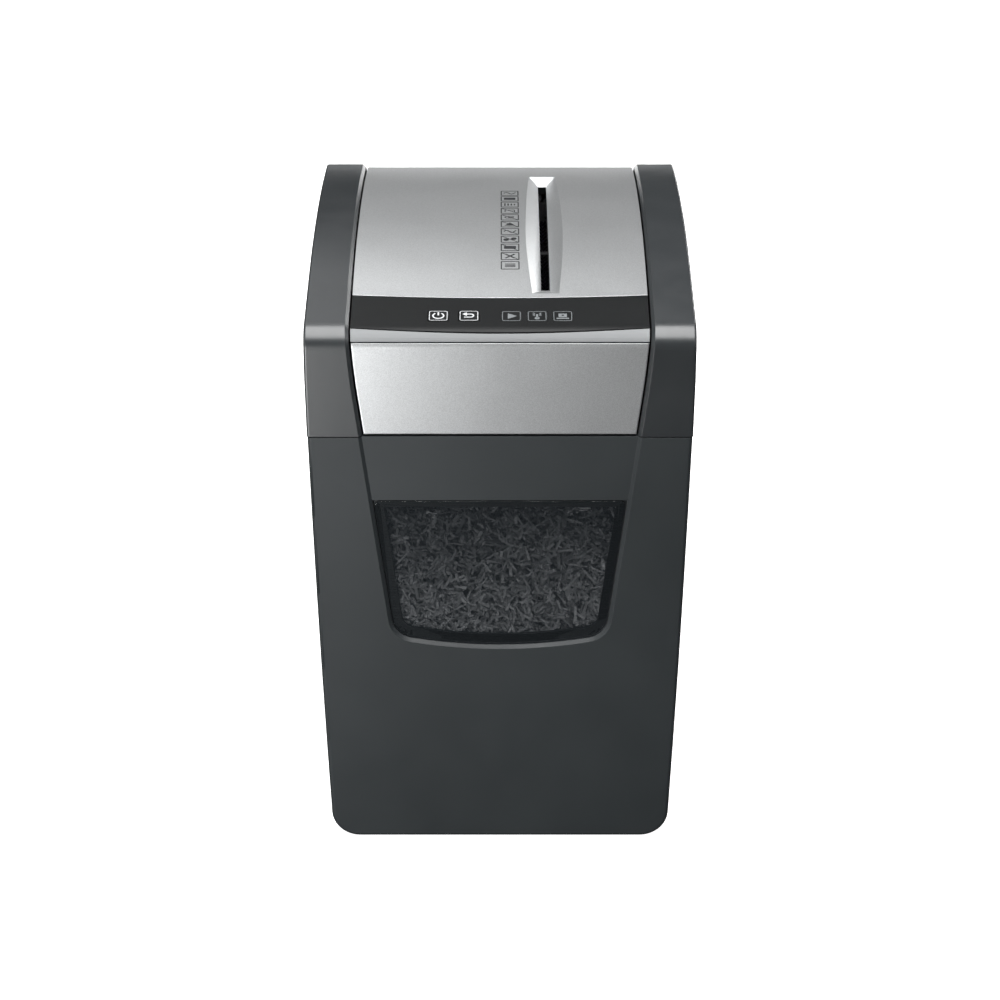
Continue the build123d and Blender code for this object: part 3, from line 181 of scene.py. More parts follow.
def metallic_paint(name, color, painted_shade_faces):
    """Silver paint on black plastic: fine flakes of changing brightness under a thin satin coat.

    The mask that the graph gives marks faces painted near-black and not metallic: painted shade inside the
    panel joints and down the entry slit.
    """
    g = Graph(name)
    flakes = g.add("ShaderNodeTexVoronoi", {"Vector": g.coords, "Scale": FLAKE_SCALE}).outputs["Color"]
    flake_level = g.add("ShaderNodeSeparateColor", {"Color": flakes}).outputs["Red"]
    cloud = g.noise(9.0, detail=3.0)
    level = g.math("ADD", g.math("MULTIPLY", flake_level, 0.22), g.math("MULTIPLY", cloud, 0.02))
    low_tone = tuple(c * 0.86 for c in color)
    high_tone = tuple(min(1, c * 1.12) for c in color)
    tone = g.mix(g.remap(level, 0.0, 0.24, 0.0, 1.0), low_tone, high_tone)
    patches = g.noise(30.0, detail=5.0)
    rough = g.remap(patches, 0.3, 0.7, PAINT_ROUGHNESS - 0.008, PAINT_ROUGHNESS + 0.012)
    rounded = g.add("ShaderNodeBevel", {"Radius": PAINT_EDGE}, samples=4).outputs["Normal"]
    painted_shade_mask = painted_shade_faces(g)
    # the masked faces turn near-black: painted shade
    tone = g.mix(painted_shade_mask, tone, srgb(10, 11, 12))
    metallic = g.remap(painted_shade_mask, 0.0, 1.0, PAINT_METALLIC, 0.0)
    normal = g.bump(flake_level, 0.06, 0.00003, rounded)
    g.set(Base_Color=tone, Metallic=metallic, Roughness=rough, Normal=normal)
    g.set(Coat_Weight=0.15, Coat_Roughness=0.25)
    return g.material


def flat_normal(g):
    """The face's own normal, as separate X, Y and Z."""
    normal = g.add("ShaderNodeNewGeometry").outputs["True Normal"]
    return g.add("ShaderNodeSeparateXYZ", {"Vector": normal}).outputs


def shaded_joint_edges(g):
    """Mask of a panel's cut edges that face straight up or down, inside its joints, for painted shade there.
    """
    return g.math("GREATER_THAN", g.math("ABSOLUTE", flat_normal(g)["Z"]), LEVEL_FACE)


def shaded_slit_walls(g):
    """Mask of the entry slit's upright walls, below the funnel, for painted shade down the slit."""
    place = g.add("ShaderNodeSeparateXYZ", {"Vector": g.coords}).outputs
    across = g.math("ABSOLUTE", g.math("SUBTRACT", place["X"], slot_middle))
    inside = g.math("LESS_THAN", across, (slot_right - slot_left) / 2 + SLIT_MARGIN)
    upright = g.math("LESS_THAN", g.math("ABSOLUTE", flat_normal(g)["Z"]), UPRIGHT_FACE)
    back = g.math("GREATER_THAN", place["Y"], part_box("control_panel")[1].y + SLIT_BEHIND_BAND)
    return g.math("MULTIPLY", g.math("MULTIPLY", inside, upright), back)


def smoked_clear(name, color, alpha):
    """Dark tinted clear plastic, seen through by its alpha, with faint marks."""
    g = Graph(name)
    marks = g.noise(14.0, detail=6.0, roughness=0.7)
    rough = g.remap(marks, 0.35, 0.75, *WINDOW_ROUGHNESS)
    fine = g.noise(300.0, detail=2.0)
    g.set(Base_Color=g.mix(g.noise(5.0), tuple(c * 0.95 for c in color), color), Roughness=rough, IOR=1.47)
    g.set(Normal=g.bump(fine, 0.03, 0.00002), Alpha=alpha)
    return g.material


def bare_metal(name, color, roughness, streak):
    """Ground or plated metal with fine lines, drawn out along the smallest of streak, and a faint stain."""
    g = Graph(name)
    lines = g.noise(METAL_LINES, detail=3.0, stretch=streak)
    stain = g.noise(30.0, detail=5.0, roughness=0.65)
    tone = g.mix(g.remap(stain, 0.35, 0.7, 0.0, 0.5), color, tuple(c * 0.62 for c in color))
    tone = g.mix(g.math("MULTIPLY", g.edge(0.0004), 0.5), tone, tuple(min(1, c * 1.4) for c in color))
    rough = g.remap(lines, 0.3, 0.7, roughness - 0.07, roughness + 0.08)
    g.set(Base_Color=tone, Metallic=1.0, Roughness=rough, Normal=g.bump(lines, 0.12, 0.00003))
    return g.material


def rubber(name, color):
    """Dull rubber with a film of dust."""
    g = Graph(name)
    dust = g.noise(60.0, detail=6.0, roughness=0.7)
    tone = g.mix(g.remap(dust, 0.45, 0.75, 0.0, 0.35), color, srgb(88))
    rough = g.remap(dust, 0.3, 0.7, 0.7, 0.9)
    g.set(Base_Color=tone, Roughness=rough, Normal=g.bump(g.noise(900.0), 0.3, 0.00005))
    return g.material


def circuit_board(name):
    """Green board with a net of lighter tracks."""
    g = Graph(name)
    traces = g.add("ShaderNodeTexBrick", {"Vector": g.coords, "Scale": 90.0, "Mortar Size": 0.06,
                                          "Color1": (*srgb(20, 84, 46), 1), "Color2": (*srgb(26, 96, 52), 1),
                                          "Mortar": (*srgb(52, 128, 66), 1)})
    g.set(Base_Color=traces.outputs["Color"], Roughness=g.remap(g.noise(40.0), 0.3, 0.7, 0.3, 0.42))
    g.set(Normal=g.bump(traces.outputs["Fac"], 0.3, 0.00005))
    return g.material


def paper(name):
    """Shredded office paper: each shred has its own grey, which also carries painted shade near the window's
    top and on the heap's core, with a trace of print.
    """
    g = Graph(name)
    grey_and_shade = g.add("ShaderNodeAttribute", attribute_name="shade", attribute_type="GEOMETRY").outputs["Fac"]
    tone = g.mix(grey_and_shade, srgb(26, 30, 36), srgb(222, 225, 228))
    print_lines = g.remap(g.noise(420.0, detail=2.0), 0.58, 0.64, 0.0, 0.45)
    tone = g.mix(g.math("MULTIPLY", print_lines, grey_and_shade), tone, srgb(60, 62, 66))
    g.set(Base_Color=tone, Roughness=0.85, Normal=g.bump(g.noise(800.0), 0.2, 0.00004))
    return g.material


def printed_ink(name, color):
    g = Graph(name)
    tone = g.mix(g.remap(g.noise(500.0), 0.3, 0.7, 0.0, 1.0), tuple(c * 0.92 for c in color), color)
    g.set(Base_Color=tone, Roughness=g.remap(g.noise(80.0), 0.3, 0.7, 0.45, 0.55))
    return g.material


graphite_frame = moulded("graphite_frame", srgb(40, 43, 45), roughness=0.34, ior=1.68, wear=0.04)
graphite = moulded("graphite_moulding", srgb(40, 44, 46), roughness=0.5, ior=1.45, wear=0.05)
graphite_cabinet = moulded("graphite_cabinet", srgb(41, 45, 47), roughness=0.52, wear=0.05)
# the trim strip gets a dull mid grey in place of the panels' silver: painted shade, darker on the bend
strip_shaded_grey = moulded("trim_strip_shaded_grey", srgb(124, 126, 127), roughness=0.55, ior=1.4, wear=0.03)
black_inner = moulded("black_inner", srgb(22, 23, 24), roughness=0.55, grain=900.0)
band_black = moulded("control_band", srgb(11, 13, 14), roughness=0.46, grain=1800.0, wear=0.02, ior=1.31)
key_black = moulded("key_caps", srgb(14, 16, 17), roughness=0.48, grain=1800.0, wear=0.06, ior=1.31)
lens_black = moulded("lens_plastic", srgb(12, 14, 15), roughness=0.36, grain=1800.0, wear=0.02, ior=1.36)
SILVER = srgb(206, 208, 209)
# the front panel's top and bottom edges inside its joints are painted near-black: painted shade in the gap
silver_front = metallic_paint("silver_front_panel", SILVER, shaded_joint_edges)
# the entry slit's walls in the top panel are painted near-black: painted shade down the slit
silver_top = metallic_paint("silver_top_panel", SILVER, shaded_slit_walls)
window_clear = smoked_clear("smoked_window", srgb(34, 38, 41), 0.40)
steel_along = bare_metal("oiled_cutter_steel", srgb(52, 52, 54), 0.46, (40.0, 1.0, 40.0))
steel_plate = bare_metal("zinc_plate", srgb(168, 170, 172), 0.38, (1.0, 40.0, 6.0))
screw_metal = bare_metal("screw_zinc", srgb(186, 188, 190), 0.3, (20.0, 20.0, 20.0))
bronze = bare_metal("sintered_bronze", srgb(170, 128, 74), 0.4, (6.0, 6.0, 6.0))
dark_iron = bare_metal("magnet", srgb(96, 97, 100), 0.45, (6.0, 6.0, 6.0))
nylon = moulded("gear_nylon", srgb(214, 210, 196), roughness=0.45, grain=700.0)
foot_rubber = rubber("foot_rubber", srgb(26))
board_green = circuit_board("circuit_board")
component_blue = moulded("components", srgb(30, 40, 70), roughness=0.35)
ink_white = printed_ink("icon_white", srgb(204, 206, 208))
ink_grey = printed_ink("icon_grey", srgb(112, 116, 118))
ink_dark = printed_ink("pictogram_dark", srgb(34, 36, 38))
shred_paper = paper("shredded_paper")

slot_materials = {
    "graphite_plastic": graphite, "silver_paint": silver_front, "band_plastic": band_black,
    "key_plastic": key_black, "lens_plastic": lens_black, "smoked_window": window_clear,
    "black_plastic": black_inner, "foot_rubber": foot_rubber, "cutter_steel": steel_along,
    "plate_steel": steel_plate, "screw_steel": screw_metal, "bush_bronze": bronze, "gear_nylon": nylon,
    "circuit_board": board_green, "component_plastic": component_blue, "magnet_iron": dark_iron,
}
# nodes that look different from the rest of their slot
node_materials = {
    "cabinet_shell": graphite_cabinet, "left_side_frame": graphite_frame, "right_side_frame": graphite_frame,
    "top_panel": silver_top, "trim_strip": strip_shaded_grey,
}
for part in frame["record"]["subparts"]:
    materials = nodes[part["node"]].data.materials
    materials.clear()
    materials.append(node_materials.get(part["node"], slot_materials[part["material_slot"]]))


# ---------------------------------------------------------------------------------------------------------
# Mesh helpers
# ---------------------------------------------------------------------------------------------------------
LEAST_CORNER = 0.1 * MM                 # radius of a drawn frame's inner corners, at least


def new_piece(name, bm, material, body, smooth=True):
    """Object from a bmesh that rides on a body."""
    mesh = bpy.data.meshes.new(name)
    bm.to_mesh(mesh)
    bm.free()
    mesh.materials.append(material)
    for polygon in mesh.polygons:
        polygon.use_smooth = smooth
    piece = bpy.data.objects.new(name, mesh)
    bpy.context.scene.collection.objects.link(piece)
    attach(piece, body)


def solid_outline(bm, outline, holes, thickness, place):
    """Closed flat solid: an outline less its holes, as loops of (x, y), thickened and mapped by place."""
    edges = []
    for loop in [outline, *holes]:
        ring = [bm.verts.new((x, y, 0.0)) for x, y in loop]
        edges += [bm.edges.new((ring[i], ring[(i + 1) % len(ring)])) for i in range(len(ring))]
    filled = bmesh.ops.triangle_fill(bm, edges=edges, use_beauty=True, use_dissolve=False, normal=(0, 0, 1))
    faces = [item for item in filled["geom"] if isinstance(item, bmesh.types.BMFace)]
    raised = bmesh.ops.extrude_face_region(bm, geom=faces)
    tops = [item for item in raised["geom"] if isinstance(item, bmesh.types.BMVert)]
    bases = {vert for face in faces for vert in face.verts}
    for vert in tops:
        vert.co = place(vert.co.x, vert.co.y, thickness)
    for vert in bases:
        vert.co = place(vert.co.x, vert.co.y, 0.0)


def rounded_rectangle(width, height, radius, corner_steps=5):
    """Loop of a rectangle about the origin with rounded corners."""
    points = []
    for quarter, (cx, cy) in enumerate(((1, 1), (-1, 1), (-1, -1), (1, -1))):
        for step in range(corner_steps + 1):
            angle = math.pi / 2 * (quarter + step / corner_steps)
            points.append((cx * (width / 2 - radius) + radius * math.cos(angle),
                           cy * (height / 2 - radius) + radius * math.sin(angle)))
    return points


def frame_ring(width, height, radius, line):
    """Outline and holes of a rounded rectangle drawn with a line of a given width."""
    hole = rounded_rectangle(width - 2 * line, height - 2 * line, max(radius - line, LEAST_CORNER))
    return rounded_rectangle(width, height, radius), [hole]


def stroke(points, width):
    """Closed outline of a straight or bent line of a given width through two or more points."""
    left, right = [], []
    for index, point in enumerate(points):
        before = Vector(points[max(index - 1, 0)])
        after = Vector(points[min(index + 1, len(points) - 1)])
        along = (after - before).normalized()
        normal = Vector((-along.y, along.x)) * width / 2
        left.append((point[0] + normal.x, point[1] + normal.y))
        right.append((point[0] - normal.x, point[1] - normal.y))
    return left + right[::-1]


def arc(radius, start, end, steps=18, center=(0.0, 0.0)):
    """Points along a circle from one angle to another, in degrees."""
    angles = [math.radians(start + (end - start) * step / steps) for step in range(steps + 1)]
    return [(center[0] + radius * math.cos(a), center[1] + radius * math.sin(a)) for a in angles]


def shifted(points, dx, dy):
    return [(x + dx, y + dy) for x, y in points]


# ---------------------------------------------------------------------------------------------------------
# Icons on the keys and lenses
# ---------------------------------------------------------------------------------------------------------
ICON_THICKNESS = 0.06 * MM
ICON_LIFT = 0.015 * MM
FRAME_SIZE = 13.6 * MM
FRAME_CORNER = 1.6 * MM
FRAME_LINE = 0.5 * MM
FACE_TOLERANCE = 0.1 * MM               # vertices this near the highest one belong to a key's top face
LENS_COUNT = 3
RAMP_TILT = math.radians(7.6)           # slope of the control band, down towards the front
RAMP_UP = Vector((0, math.cos(RAMP_TILT), math.sin(RAMP_TILT)))
RAMP_OUT = Vector((0, -math.sin(RAMP_TILT), math.cos(RAMP_TILT)))


def ramp_face_center(node, part=0, parts=1):
    """Middle of the top face of a key, or of one of several equal lenses in a row, on the sloping band."""
    low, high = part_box(node)
    span = (high.x - low.x) / parts
    left = low.x + part * span
    points = [v.co for v in nodes[node].data.vertices if left - MM < v.co.x < left + span + MM]
    reach = max(co.dot(RAMP_OUT) for co in points)
    face = [co for co in points if co.dot(RAMP_OUT) > reach - FACE_TOLERANCE]
    across, upward = [co.x for co in face], [co.dot(RAMP_UP) for co in face]
    middle = [(min(values) + max(values)) / 2 for values in (across, upward)]
    return Vector((middle[0], 0, 0)) + RAMP_UP * middle[1] + RAMP_OUT * (reach + ICON_LIFT)


def icon_on(name, center, material, shapes, body):
    """Thin printed shapes lying on a face of the sloping control band."""
    def place(x, y, lift):
        return center + Vector((x, 0, 0)) + RAMP_UP * y + RAMP_OUT * lift

    bm = bmesh.new()
    for outline, holes in [frame_ring(FRAME_SIZE, FRAME_SIZE, FRAME_CORNER, FRAME_LINE), *shapes]:
        solid_outline(bm, outline, holes, ICON_THICKNESS, place)
    new_piece(name, bm, material, body, smooth=False)


def in_mm(points):
    """Metres from a loop given in millimetres."""
    return [(x * MM, y * MM) for x, y in points]


# what each icon shows inside its frame, in millimetres about its middle: pairs of an outline and its holes
power_shapes = [(in_mm(stroke(arc(4.0, 125, 415), 1.1)), []), (in_mm(stroke([(0, 0.6), (0, 5.0)], 1.2)), [])]
# arrow that turns back on itself, for running the cutters in reverse
reverse_bend = [(-2.0, 2.4), (1.2, 2.4), *arc(2.2, 90, -90, center=(1.2, 0.2)), (-3.6, -2.0)]
reverse_head = [(-4.9, 2.4), (-1.6, 5.0), (-1.6, -0.2)]
reverse_shapes = [(in_mm(stroke(reverse_bend, 1.1)), []), (in_mm(reverse_head), [])]
run_shapes = [(in_mm([(-2.6, -4.1), (4.0, 0.0), (-2.6, 4.1)]), [])]
# thermometer: bulb, stem and short heat strokes to both sides
heat_shapes = [(in_mm(arc(1.9, 0, 342, center=(0, -3.0))), []), (in_mm(rounded_rectangle(1.5, 5.6, 0.7)), [])]
for side in (-1, 1):
    for step in range(3):
        height = 0.6 + 1.6 * step
        heat_shapes.append((in_mm(stroke([(side * 1.5, height), (side * 3.2, height + 0.7)], 0.75)), []))
# waste bin on its base, with a round mark
bin_mark = in_mm(arc(1.0, 0, 340, center=(0, 1.2)))
full_shapes = [(in_mm(shifted(rounded_rectangle(6.2, 5.2, 0.6), 0, 1.0)), [bin_mark]),
               (in_mm(shifted(rounded_rectangle(9.4, 1.6, 0.5), 0, -3.3)), [])]

power_middle, reverse_middle = ramp_face_center("power_button"), ramp_face_center("reverse_button")
icon_on("power_icon", power_middle, ink_white, power_shapes, "power_key")
icon_on("reverse_icon", reverse_middle, ink_white, reverse_shapes, "reverse_key")
lens_icons = (("run_icon", run_shapes), ("heat_icon", heat_shapes), ("full_icon", full_shapes))
for index, (name, shapes) in enumerate(lens_icons):
    lens_middle = ramp_face_center("indicator_lenses", index, LENS_COUNT)
    icon_on(name, lens_middle, ink_grey, shapes, "body")


# ---------------------------------------------------------------------------------------------------------
# Column of small pictograms beside the entry slot
# ---------------------------------------------------------------------------------------------------------
PICTOGRAM_WIDTH = 14.3 * MM
PICTOGRAM_HEIGHT = 13.2 * MM
PICTOGRAM_CORNER = 0.8 * MM
PICTOGRAM_LINE = 0.9 * MM
PICTOGRAM_PITCH = 15.45 * MM
MARK_GROWTH = 1.15                      # the marks are drawn this much larger than listed
SLASH = [(-6.4, 5.8), (6.4, -5.8)]      # ends of a slash, in millimetres
SLASH_WIDTH = 0.6                       # in millimetres
SLASHED = range(1, 8)                   # the ones that say what must stay out
PICTOGRAM_FROM_SLOT = 26.5 * MM         # from the column's middle to the slot's middle
PICTOGRAM_FRONT = 74.9 * MM             # the first one's middle, ahead of the machine's middle
INK_LIFT = 0.05 * MM
INK_THICKNESS = 0.10 * MM

panel_mesh = nodes["top_panel"].data
panel_points = [v.co for v in panel_mesh.vertices]
panel_tree = BVHTree.FromPolygons(panel_points, [p.vertices for p in panel_mesh.polygons])


def on_top(x, y):
    """Point of the top panel's upper face above (x, y), and its normal."""
    point, normal, _, _ = panel_tree.ray_cast(Vector((x, y, 1.0)), Vector((0, 0, -1)))
    return point, normal


CLIP_WIRE = [(3, 1.6), (-2.4, 1.6), (-3.4, 0), (-2.4, -1.6), (2.2, -1.6), (2.8, -0.4), (-1, -0.4)]
STAPLE_WIRE = [(-3.2, -2), (-3.2, 1.6), (3.2, 1.6), (3.2, -2)]
WAVE_LINE = [(x * 0.9 - 4.0, 2.0 * math.sin(x * 0.8)) for x in range(10)]
# plain generic marks, as loops in millimetres about the pictogram's middle
MARKS = {
    "sheets": [shifted(rounded_rectangle(7.0, 0.8, 0.3), 0, 1.8 * step - 1.8) for step in range(3)],
    "cross": [stroke([(-3, -3), (3, 3)], 1.2), stroke([(-3, 3), (3, -3)], 1.2)],
    "bars": [shifted(rounded_rectangle(1.0, 5.6 - step, 0.4), 2.2 * step - 3.3, 0) for step in range(4)],
    "discs": [*[shifted(arc(1.9, 0, 340), side * 2.6, side * 0.9) for side in (-1, 1)],
              rounded_rectangle(6, 0.9, 0.4)],
    "wave": [stroke(WAVE_LINE, 0.9)],
    "clip": [stroke(CLIP_WIRE, 0.7)],
    "card": [rounded_rectangle(8.0, 4.6, 0.7)],
    "staple": [stroke(STAPLE_WIRE, 0.8)],
    "wedge": [[(-3.6, -2.6), (3.6, -2.6), (0, 3.2)]],
}


def pictogram_shapes(kind):
    """A mark's loops at their printed size, each with no holes."""
    return [(in_mm([(x * MARK_GROWTH, y * MARK_GROWTH) for x, y in loop]), []) for loop in MARKS[kind]]


# from the front of the column to its back
pictogram_kinds = ["sheets", "cross", "card", "discs", "wave", "wedge", "clip", "staple", "bars", "card",
                   "wave"]
bm = bmesh.new()
for index, kind in enumerate(pictogram_kinds):
    middle_x = slot_middle - PICTOGRAM_FROM_SLOT
    middle_y = -PICTOGRAM_FRONT + index * PICTOGRAM_PITCH

    def place(x, y, lift, middle_x=middle_x, middle_y=middle_y):
        point, normal = on_top(middle_x + x, middle_y + y)
        return point + normal * (INK_LIFT + lift)

    ring = frame_ring(PICTOGRAM_WIDTH, PICTOGRAM_HEIGHT, PICTOGRAM_CORNER, PICTOGRAM_LINE)
    slash = [(in_mm(stroke(SLASH, SLASH_WIDTH)), [])] if index in SLASHED else []
    for outline, holes in [ring, *pictogram_shapes(kind), *slash]:
        solid_outline(bm, outline, holes, INK_THICKNESS, place)
new_piece("slot_pictograms", bm, ink_dark, "body", smooth=False)


# ---------------------------------------------------------------------------------------------------------
# Shredded paper in the bin
# ---------------------------------------------------------------------------------------------------------
SHRED_WIDTH = (1.2 * MM, 2.4 * MM)
SHRED_LENGTH = (6.0 * MM, 15.0 * MM)
SHRED_THICKNESS = 0.16 * MM
SHRED_STEPS = 3
TILT_SPREAD = 0.42                      # how far shreds lie out of true
CURL_SPREAD = 0.55
TWIST_SPREAD = 0.35
HEAP_TOP = 300.0 * MM
HEAP_HOLLOW = 9.0 * MM                  # how far the heap's surface rises and falls
WALL_SHREDS = 8200
TOP_SHREDS = 5200
WINDOW_PACK_MM = 13                     # depth of the shreds behind the window, before they loosen
HEAP_LOOSE_MM = 9                       # depth of the loose shreds on the heap
HEAP_SIDE_GAP = 6.0 * MM                # room kept from the tub's side and back walls
TUB_FLOOR_SHARE = 0.838                 # the tub's width at its floor, as a share of that at its top

rng = random.Random(41)
tub_low, tub_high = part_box("bin_tub")
pane_low, pane_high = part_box("bin_window")
heap_front = pane_high.y + 2.9 * MM
heap_back = tub_high.y - HEAP_SIDE_GAP
heap_floor = tub_low.z + 4.0 * MM


def tub_reach(z):
    """Half of the room between the tub's side walls at height z."""
    share = (z - tub_low.z) / (tub_high.z - tub_low.z)
    return tub_high.x * (TUB_FLOOR_SHARE + (1 - TUB_FLOOR_SHARE) * share) - HEAP_SIDE_GAP


def heap_height(x, y):
    """The heap's surface: highest under the cutters, with low swells."""
    swell = math.sin(x * 31 + 1.3) * math.cos(y * 27) + 0.5 * math.sin(x * 67 - y * 45)
    away = math.hypot((x - slot_middle) / 0.16, y / 0.22)
    return HEAP_TOP + HEAP_HOLLOW * 0.5 * swell - HEAP_HOLLOW * min(away, 1.5)


def add_shred(vertices, faces, shades, center, flat_to, shade):
    """One curled strip, laid roughly square to the direction flat_to."""
    normal = Vector([n + rng.gauss(0, TILT_SPREAD) for n in flat_to]).normalized()
    along = normal.orthogonal().normalized()
    along = (Matrix.Rotation(rng.uniform(0, 2 * math.pi), 3, normal) @ along).normalized()
    side = normal.cross(along)
    width, length = rng.uniform(*SHRED_WIDTH), rng.uniform(*SHRED_LENGTH)
    curl, twist = rng.gauss(0, CURL_SPREAD), rng.gauss(0, TWIST_SPREAD)
    point = center - along * length / 2
    first = len(vertices)
    for step in range(SHRED_STEPS + 1):
        for sign, lift in ((-1, 0), (1, 0), (1, 1), (-1, 1)):
            corner = point + side * sign * width / 2 + normal * lift * SHRED_THICKNESS
            reach = tub_reach(corner.z)
            corner.x = min(max(corner.x, -reach), reach)
            corner.y = min(max(corner.y, heap_front + lift * SHRED_THICKNESS), heap_back)
            corner.z = max(corner.z, heap_floor)
            vertices.append(corner)
            shades.append(shade)
        turn = Matrix.Rotation(curl / SHRED_STEPS, 3, side) @ Matrix.Rotation(twist / SHRED_STEPS, 3, along)
        along, normal, side = turn @ along, turn @ normal, turn @ side
        point = point + along * length / SHRED_STEPS
    for step in range(SHRED_STEPS):
        a = first + 4 * step
        for edge in range(4):
            following = (edge + 1) % 4
            faces.append((a + edge, a + following, a + 4 + following, a + 4 + edge))
    faces.append((first + 3, first + 2, first + 1, first))
    last = first + 4 * SHRED_STEPS
    faces.append((last, last + 1, last + 2, last + 3))


def shred_mesh(name, count, sampler):
    """Many shreds as one piece; sampler() gives each one's middle, the way it faces and its grey."""
    vertices, faces, shades = [], [], []
    for _ in range(count):
        center, flat_to, shade = sampler()
        add_shred(vertices, faces, shades, center, flat_to, shade)
    mesh = bpy.data.meshes.new(name)
    mesh.from_pydata(vertices, [], faces)
    mesh.attributes.new("shade", "FLOAT", "POINT").data.foreach_set("value", shades)
    mesh.materials.append(shred_paper)
    piece = bpy.data.objects.new(name, mesh)
    bpy.context.scene.collection.objects.link(piece)
    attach(piece, "bin")


def against_window():
    """Shreds packed against the window, some a little way behind it."""
    z = rng.uniform(pane_low.z - 6 * MM, pane_high.z + 2 * MM)
    x = rng.uniform(-1, 1) * min(tub_reach(z), pane_high.x + 4 * MM)
    depth = rng.random() ** 1.6 * WINDOW_PACK_MM * MM
    # loosely packed near the top, where their greys are also made darker: painted shade under the window's
    # top edge
    looseness_and_shade = max(0.0, (z - pane_low.z) / (pane_high.z - pane_low.z) - 0.25) / 0.75
    shade = min(1.0, max(0.02, rng.gauss(0.50 - 0.40 * looseness_and_shade, 0.15 - 0.06 * looseness_and_shade)))
    return Vector((x, heap_front + 1 * MM + depth * (1 + looseness_and_shade), z)), (0, -1, 0.25), shade


def on_heap():
    """Loose shreds lying on the heap."""
    y = rng.uniform(heap_front, heap_back)
    x = rng.uniform(-1, 1) * tub_reach(HEAP_TOP)
    z = heap_height(x, y) - rng.random() ** 1.5 * HEAP_LOOSE_MM * MM
    return Vector((x, y, z)), (0, 0, 1), min(1.0, max(0.0, rng.gauss(0.68, 0.2)))


shred_mesh("shreds_at_window", WALL_SHREDS, against_window)
shred_mesh("shreds_on_top", TOP_SHREDS, on_heap)

# the inside of the heap, a lumpy closed body that fills the tub below the loose shreds
HEAP_GRID = 40
# the core's dark grey is painted shade in the gaps between the loose shreds
CORE_PAINTED_SHADE = 0.25
CORE_FRONT_GAP = 14 * MM                # from the front of the heap
CORE_SHORTER = 15 * MM                  # than the heap, by that gap and one at the back
CORE_SIDE_GAP = 2 * MM
CORE_BELOW_TOP = 20 * MM                # where the core's width is taken
CORE_DEPTH = 7 * MM                     # below the heap's surface
CORE_LUMPS = 1.4 * MM
bm = bmesh.new()
shade_layer = bm.verts.layers.float.new("shade")
rows = []
for j in range(HEAP_GRID + 1):
    y = heap_front + CORE_FRONT_GAP + (heap_back - heap_front - CORE_SHORTER) * j / HEAP_GRID
    row = []
    for i in range(HEAP_GRID + 1):
        x = (2 * i / HEAP_GRID - 1) * (tub_reach(HEAP_TOP - CORE_BELOW_TOP) - CORE_SIDE_GAP)
        vert = bm.verts.new((x, y, heap_height(x, y) - CORE_DEPTH + rng.gauss(0, CORE_LUMPS)))
        vert[shade_layer] = CORE_PAINTED_SHADE
        row.append(vert)
    rows.append(row)
for j in range(HEAP_GRID):
    for i in range(HEAP_GRID):
        bm.faces.new((rows[j][i], rows[j][i + 1], rows[j + 1][i + 1], rows[j + 1][i]))
rim = [*rows[0], *[row[-1] for row in rows[1:]], *rows[-1][-2::-1], *[row[0] for row in rows[-2:0:-1]]]
for way_down in (0.5, 1.0):             # share of the height that is left above the floor
    lower = []
    for vert in rim:
        z = vert.co.z + (heap_floor - vert.co.z) * way_down
        x = min(max(vert.co.x, -tub_reach(z) + CORE_SIDE_GAP), tub_reach(z) - CORE_SIDE_GAP)
        below = bm.verts.new((x, vert.co.y, z))
        below[shade_layer] = CORE_PAINTED_SHADE
        lower.append(below)
    for k in range(len(rim)):
        following = (k + 1) % len(rim)
        bm.faces.new((rim[k], lower[k], lower[following], rim[following]))
    rim = lower
bm.faces.new(rim[::-1])
bmesh.ops.recalc_face_normals(bm, faces=bm.faces)
new_piece("shred_core", bm, shred_paper, "bin")


# ---------------------------------------------------------------------------------------------------------
# Floor, lights and camera
# ---------------------------------------------------------------------------------------------------------
FLOOR_HALF = 60.0                       # far enough that a low view meets no edge
CAMERA_LENS = 110.9                     # millimetres on a 36 mm sensor
CAMERA_LOCATION = (0.0, -2.2522, 1.3087)
CAMERA_TILT = math.radians(64.0)        # from straight down: it looks 26 degrees downwards
scene = bpy.context.scene
scene.view_settings.view_transform = "Standard"


def floor_material():
    """Even white, with a trace of tone."""
    g = Graph("pale_floor")
    tone = g.mix(g.noise(3.0), srgb(246), srgb(250))
    g.set(Base_Color=tone, Roughness=0.6, Emission_Color=(1.0, 1.0, 1.0), Emission_Strength=1.0)
    return g.material


floor_mesh = bpy.data.meshes.new("floor")
floor_corners = [(x * FLOOR_HALF, y * FLOOR_HALF, 0) for x, y in ((-1, -1), (1, -1), (1, 1), (-1, 1))]
floor_mesh.from_pydata(floor_corners, [], [(0, 1, 2, 3)])
floor_mesh.materials.append(floor_material())
floor = bpy.data.objects.new("floor", floor_mesh)
scene.collection.objects.link(floor)
# the floor shows white and lights nothing, as under a studio's flagged lamps
floor.visible_diffuse = False
floor.visible_glossy = False
floor.visible_shadow = False

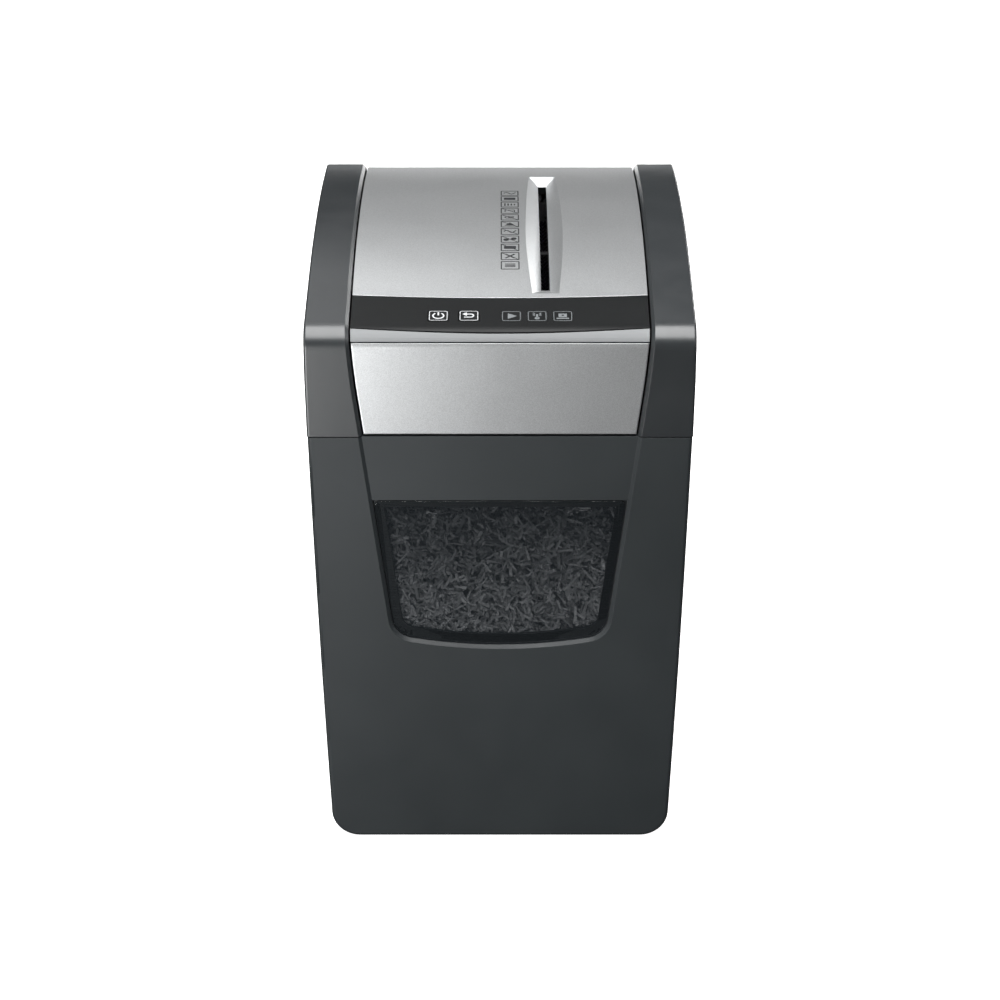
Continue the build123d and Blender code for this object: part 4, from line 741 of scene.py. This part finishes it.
# a studio room that brightens from the floor line to the ceiling
world = bpy.data.worlds.new("studio")
world.use_nodes = True
world_tree = world.node_tree
direction = world_tree.nodes.new("ShaderNodeTexCoord").outputs["Generated"]
split = world_tree.nodes.new("ShaderNodeSeparateXYZ")
world_tree.links.new(direction, split.inputs[0])
ceiling = world_tree.nodes.new("ShaderNodeMapRange")
world_tree.links.new(split.outputs["Z"], ceiling.inputs["Value"])
for key, value in (("From Min", -0.1), ("From Max", 1.0), ("To Min", 0.16), ("To Max", 2.0)):
    ceiling.inputs[key].default_value = value
world_tree.links.new(ceiling.outputs["Result"], world_tree.nodes["Background"].inputs["Strength"])
scene.world = world


def area_light(name, location, target, width, height, power):
    """White softbox of a width and height in metres and a power in watts, facing a target point."""
    data = bpy.data.lights.new(name, "AREA")
    data.shape = "RECTANGLE"
    data.size, data.size_y, data.energy = width, height, power
    light = bpy.data.objects.new(name, data)
    light.location = location
    light.visible_camera = False
    light.rotation_euler = (Vector(target) - Vector(location)).to_track_quat("-Z", "Y").to_euler()
    scene.collection.objects.link(light)


middle_of_head = (0, 0, cad_box[1][2] * 0.9)
area_light("overhead", (0.0, -0.465, 2.2), middle_of_head, 1.5, 2.59, 88)
area_light("back_top", (-0.75, 1.25, 1.95), middle_of_head, 1.5, 1.1, 5.6)
area_light("low_front_left", (-0.56, -1.0, 0.12), (-0.1, -0.18, 0.4), 0.6, 0.5, 8.8)
area_light("side_left", (-2.0, -0.9, 1.1), middle_of_head, 1.0, 1.4, 6)
area_light("back_right", (1.14, 1.70, 0.84), middle_of_head, 0.4, 0.3, 3.6)
area_light("front_right", (1.5, -1.4, 1.0), middle_of_head, 0.8, 0.8, 2)
area_light("side_right", (2.2, 0.5, 0.7), middle_of_head, 1.4, 1.2, 16)
area_light("low_back", (0.2, 2.4, 0.10), (0, 0.18, 0.2), 1.2, 0.3, 9)

camera_data = bpy.data.cameras.new("camera")
camera_data.lens = CAMERA_LENS
camera_data.sensor_width = 36.0
camera = bpy.data.objects.new("camera", camera_data)
camera.location = CAMERA_LOCATION
camera.rotation_euler = (CAMERA_TILT, 0.0, 0.0)
scene.collection.objects.link(camera)
scene.camera = camera
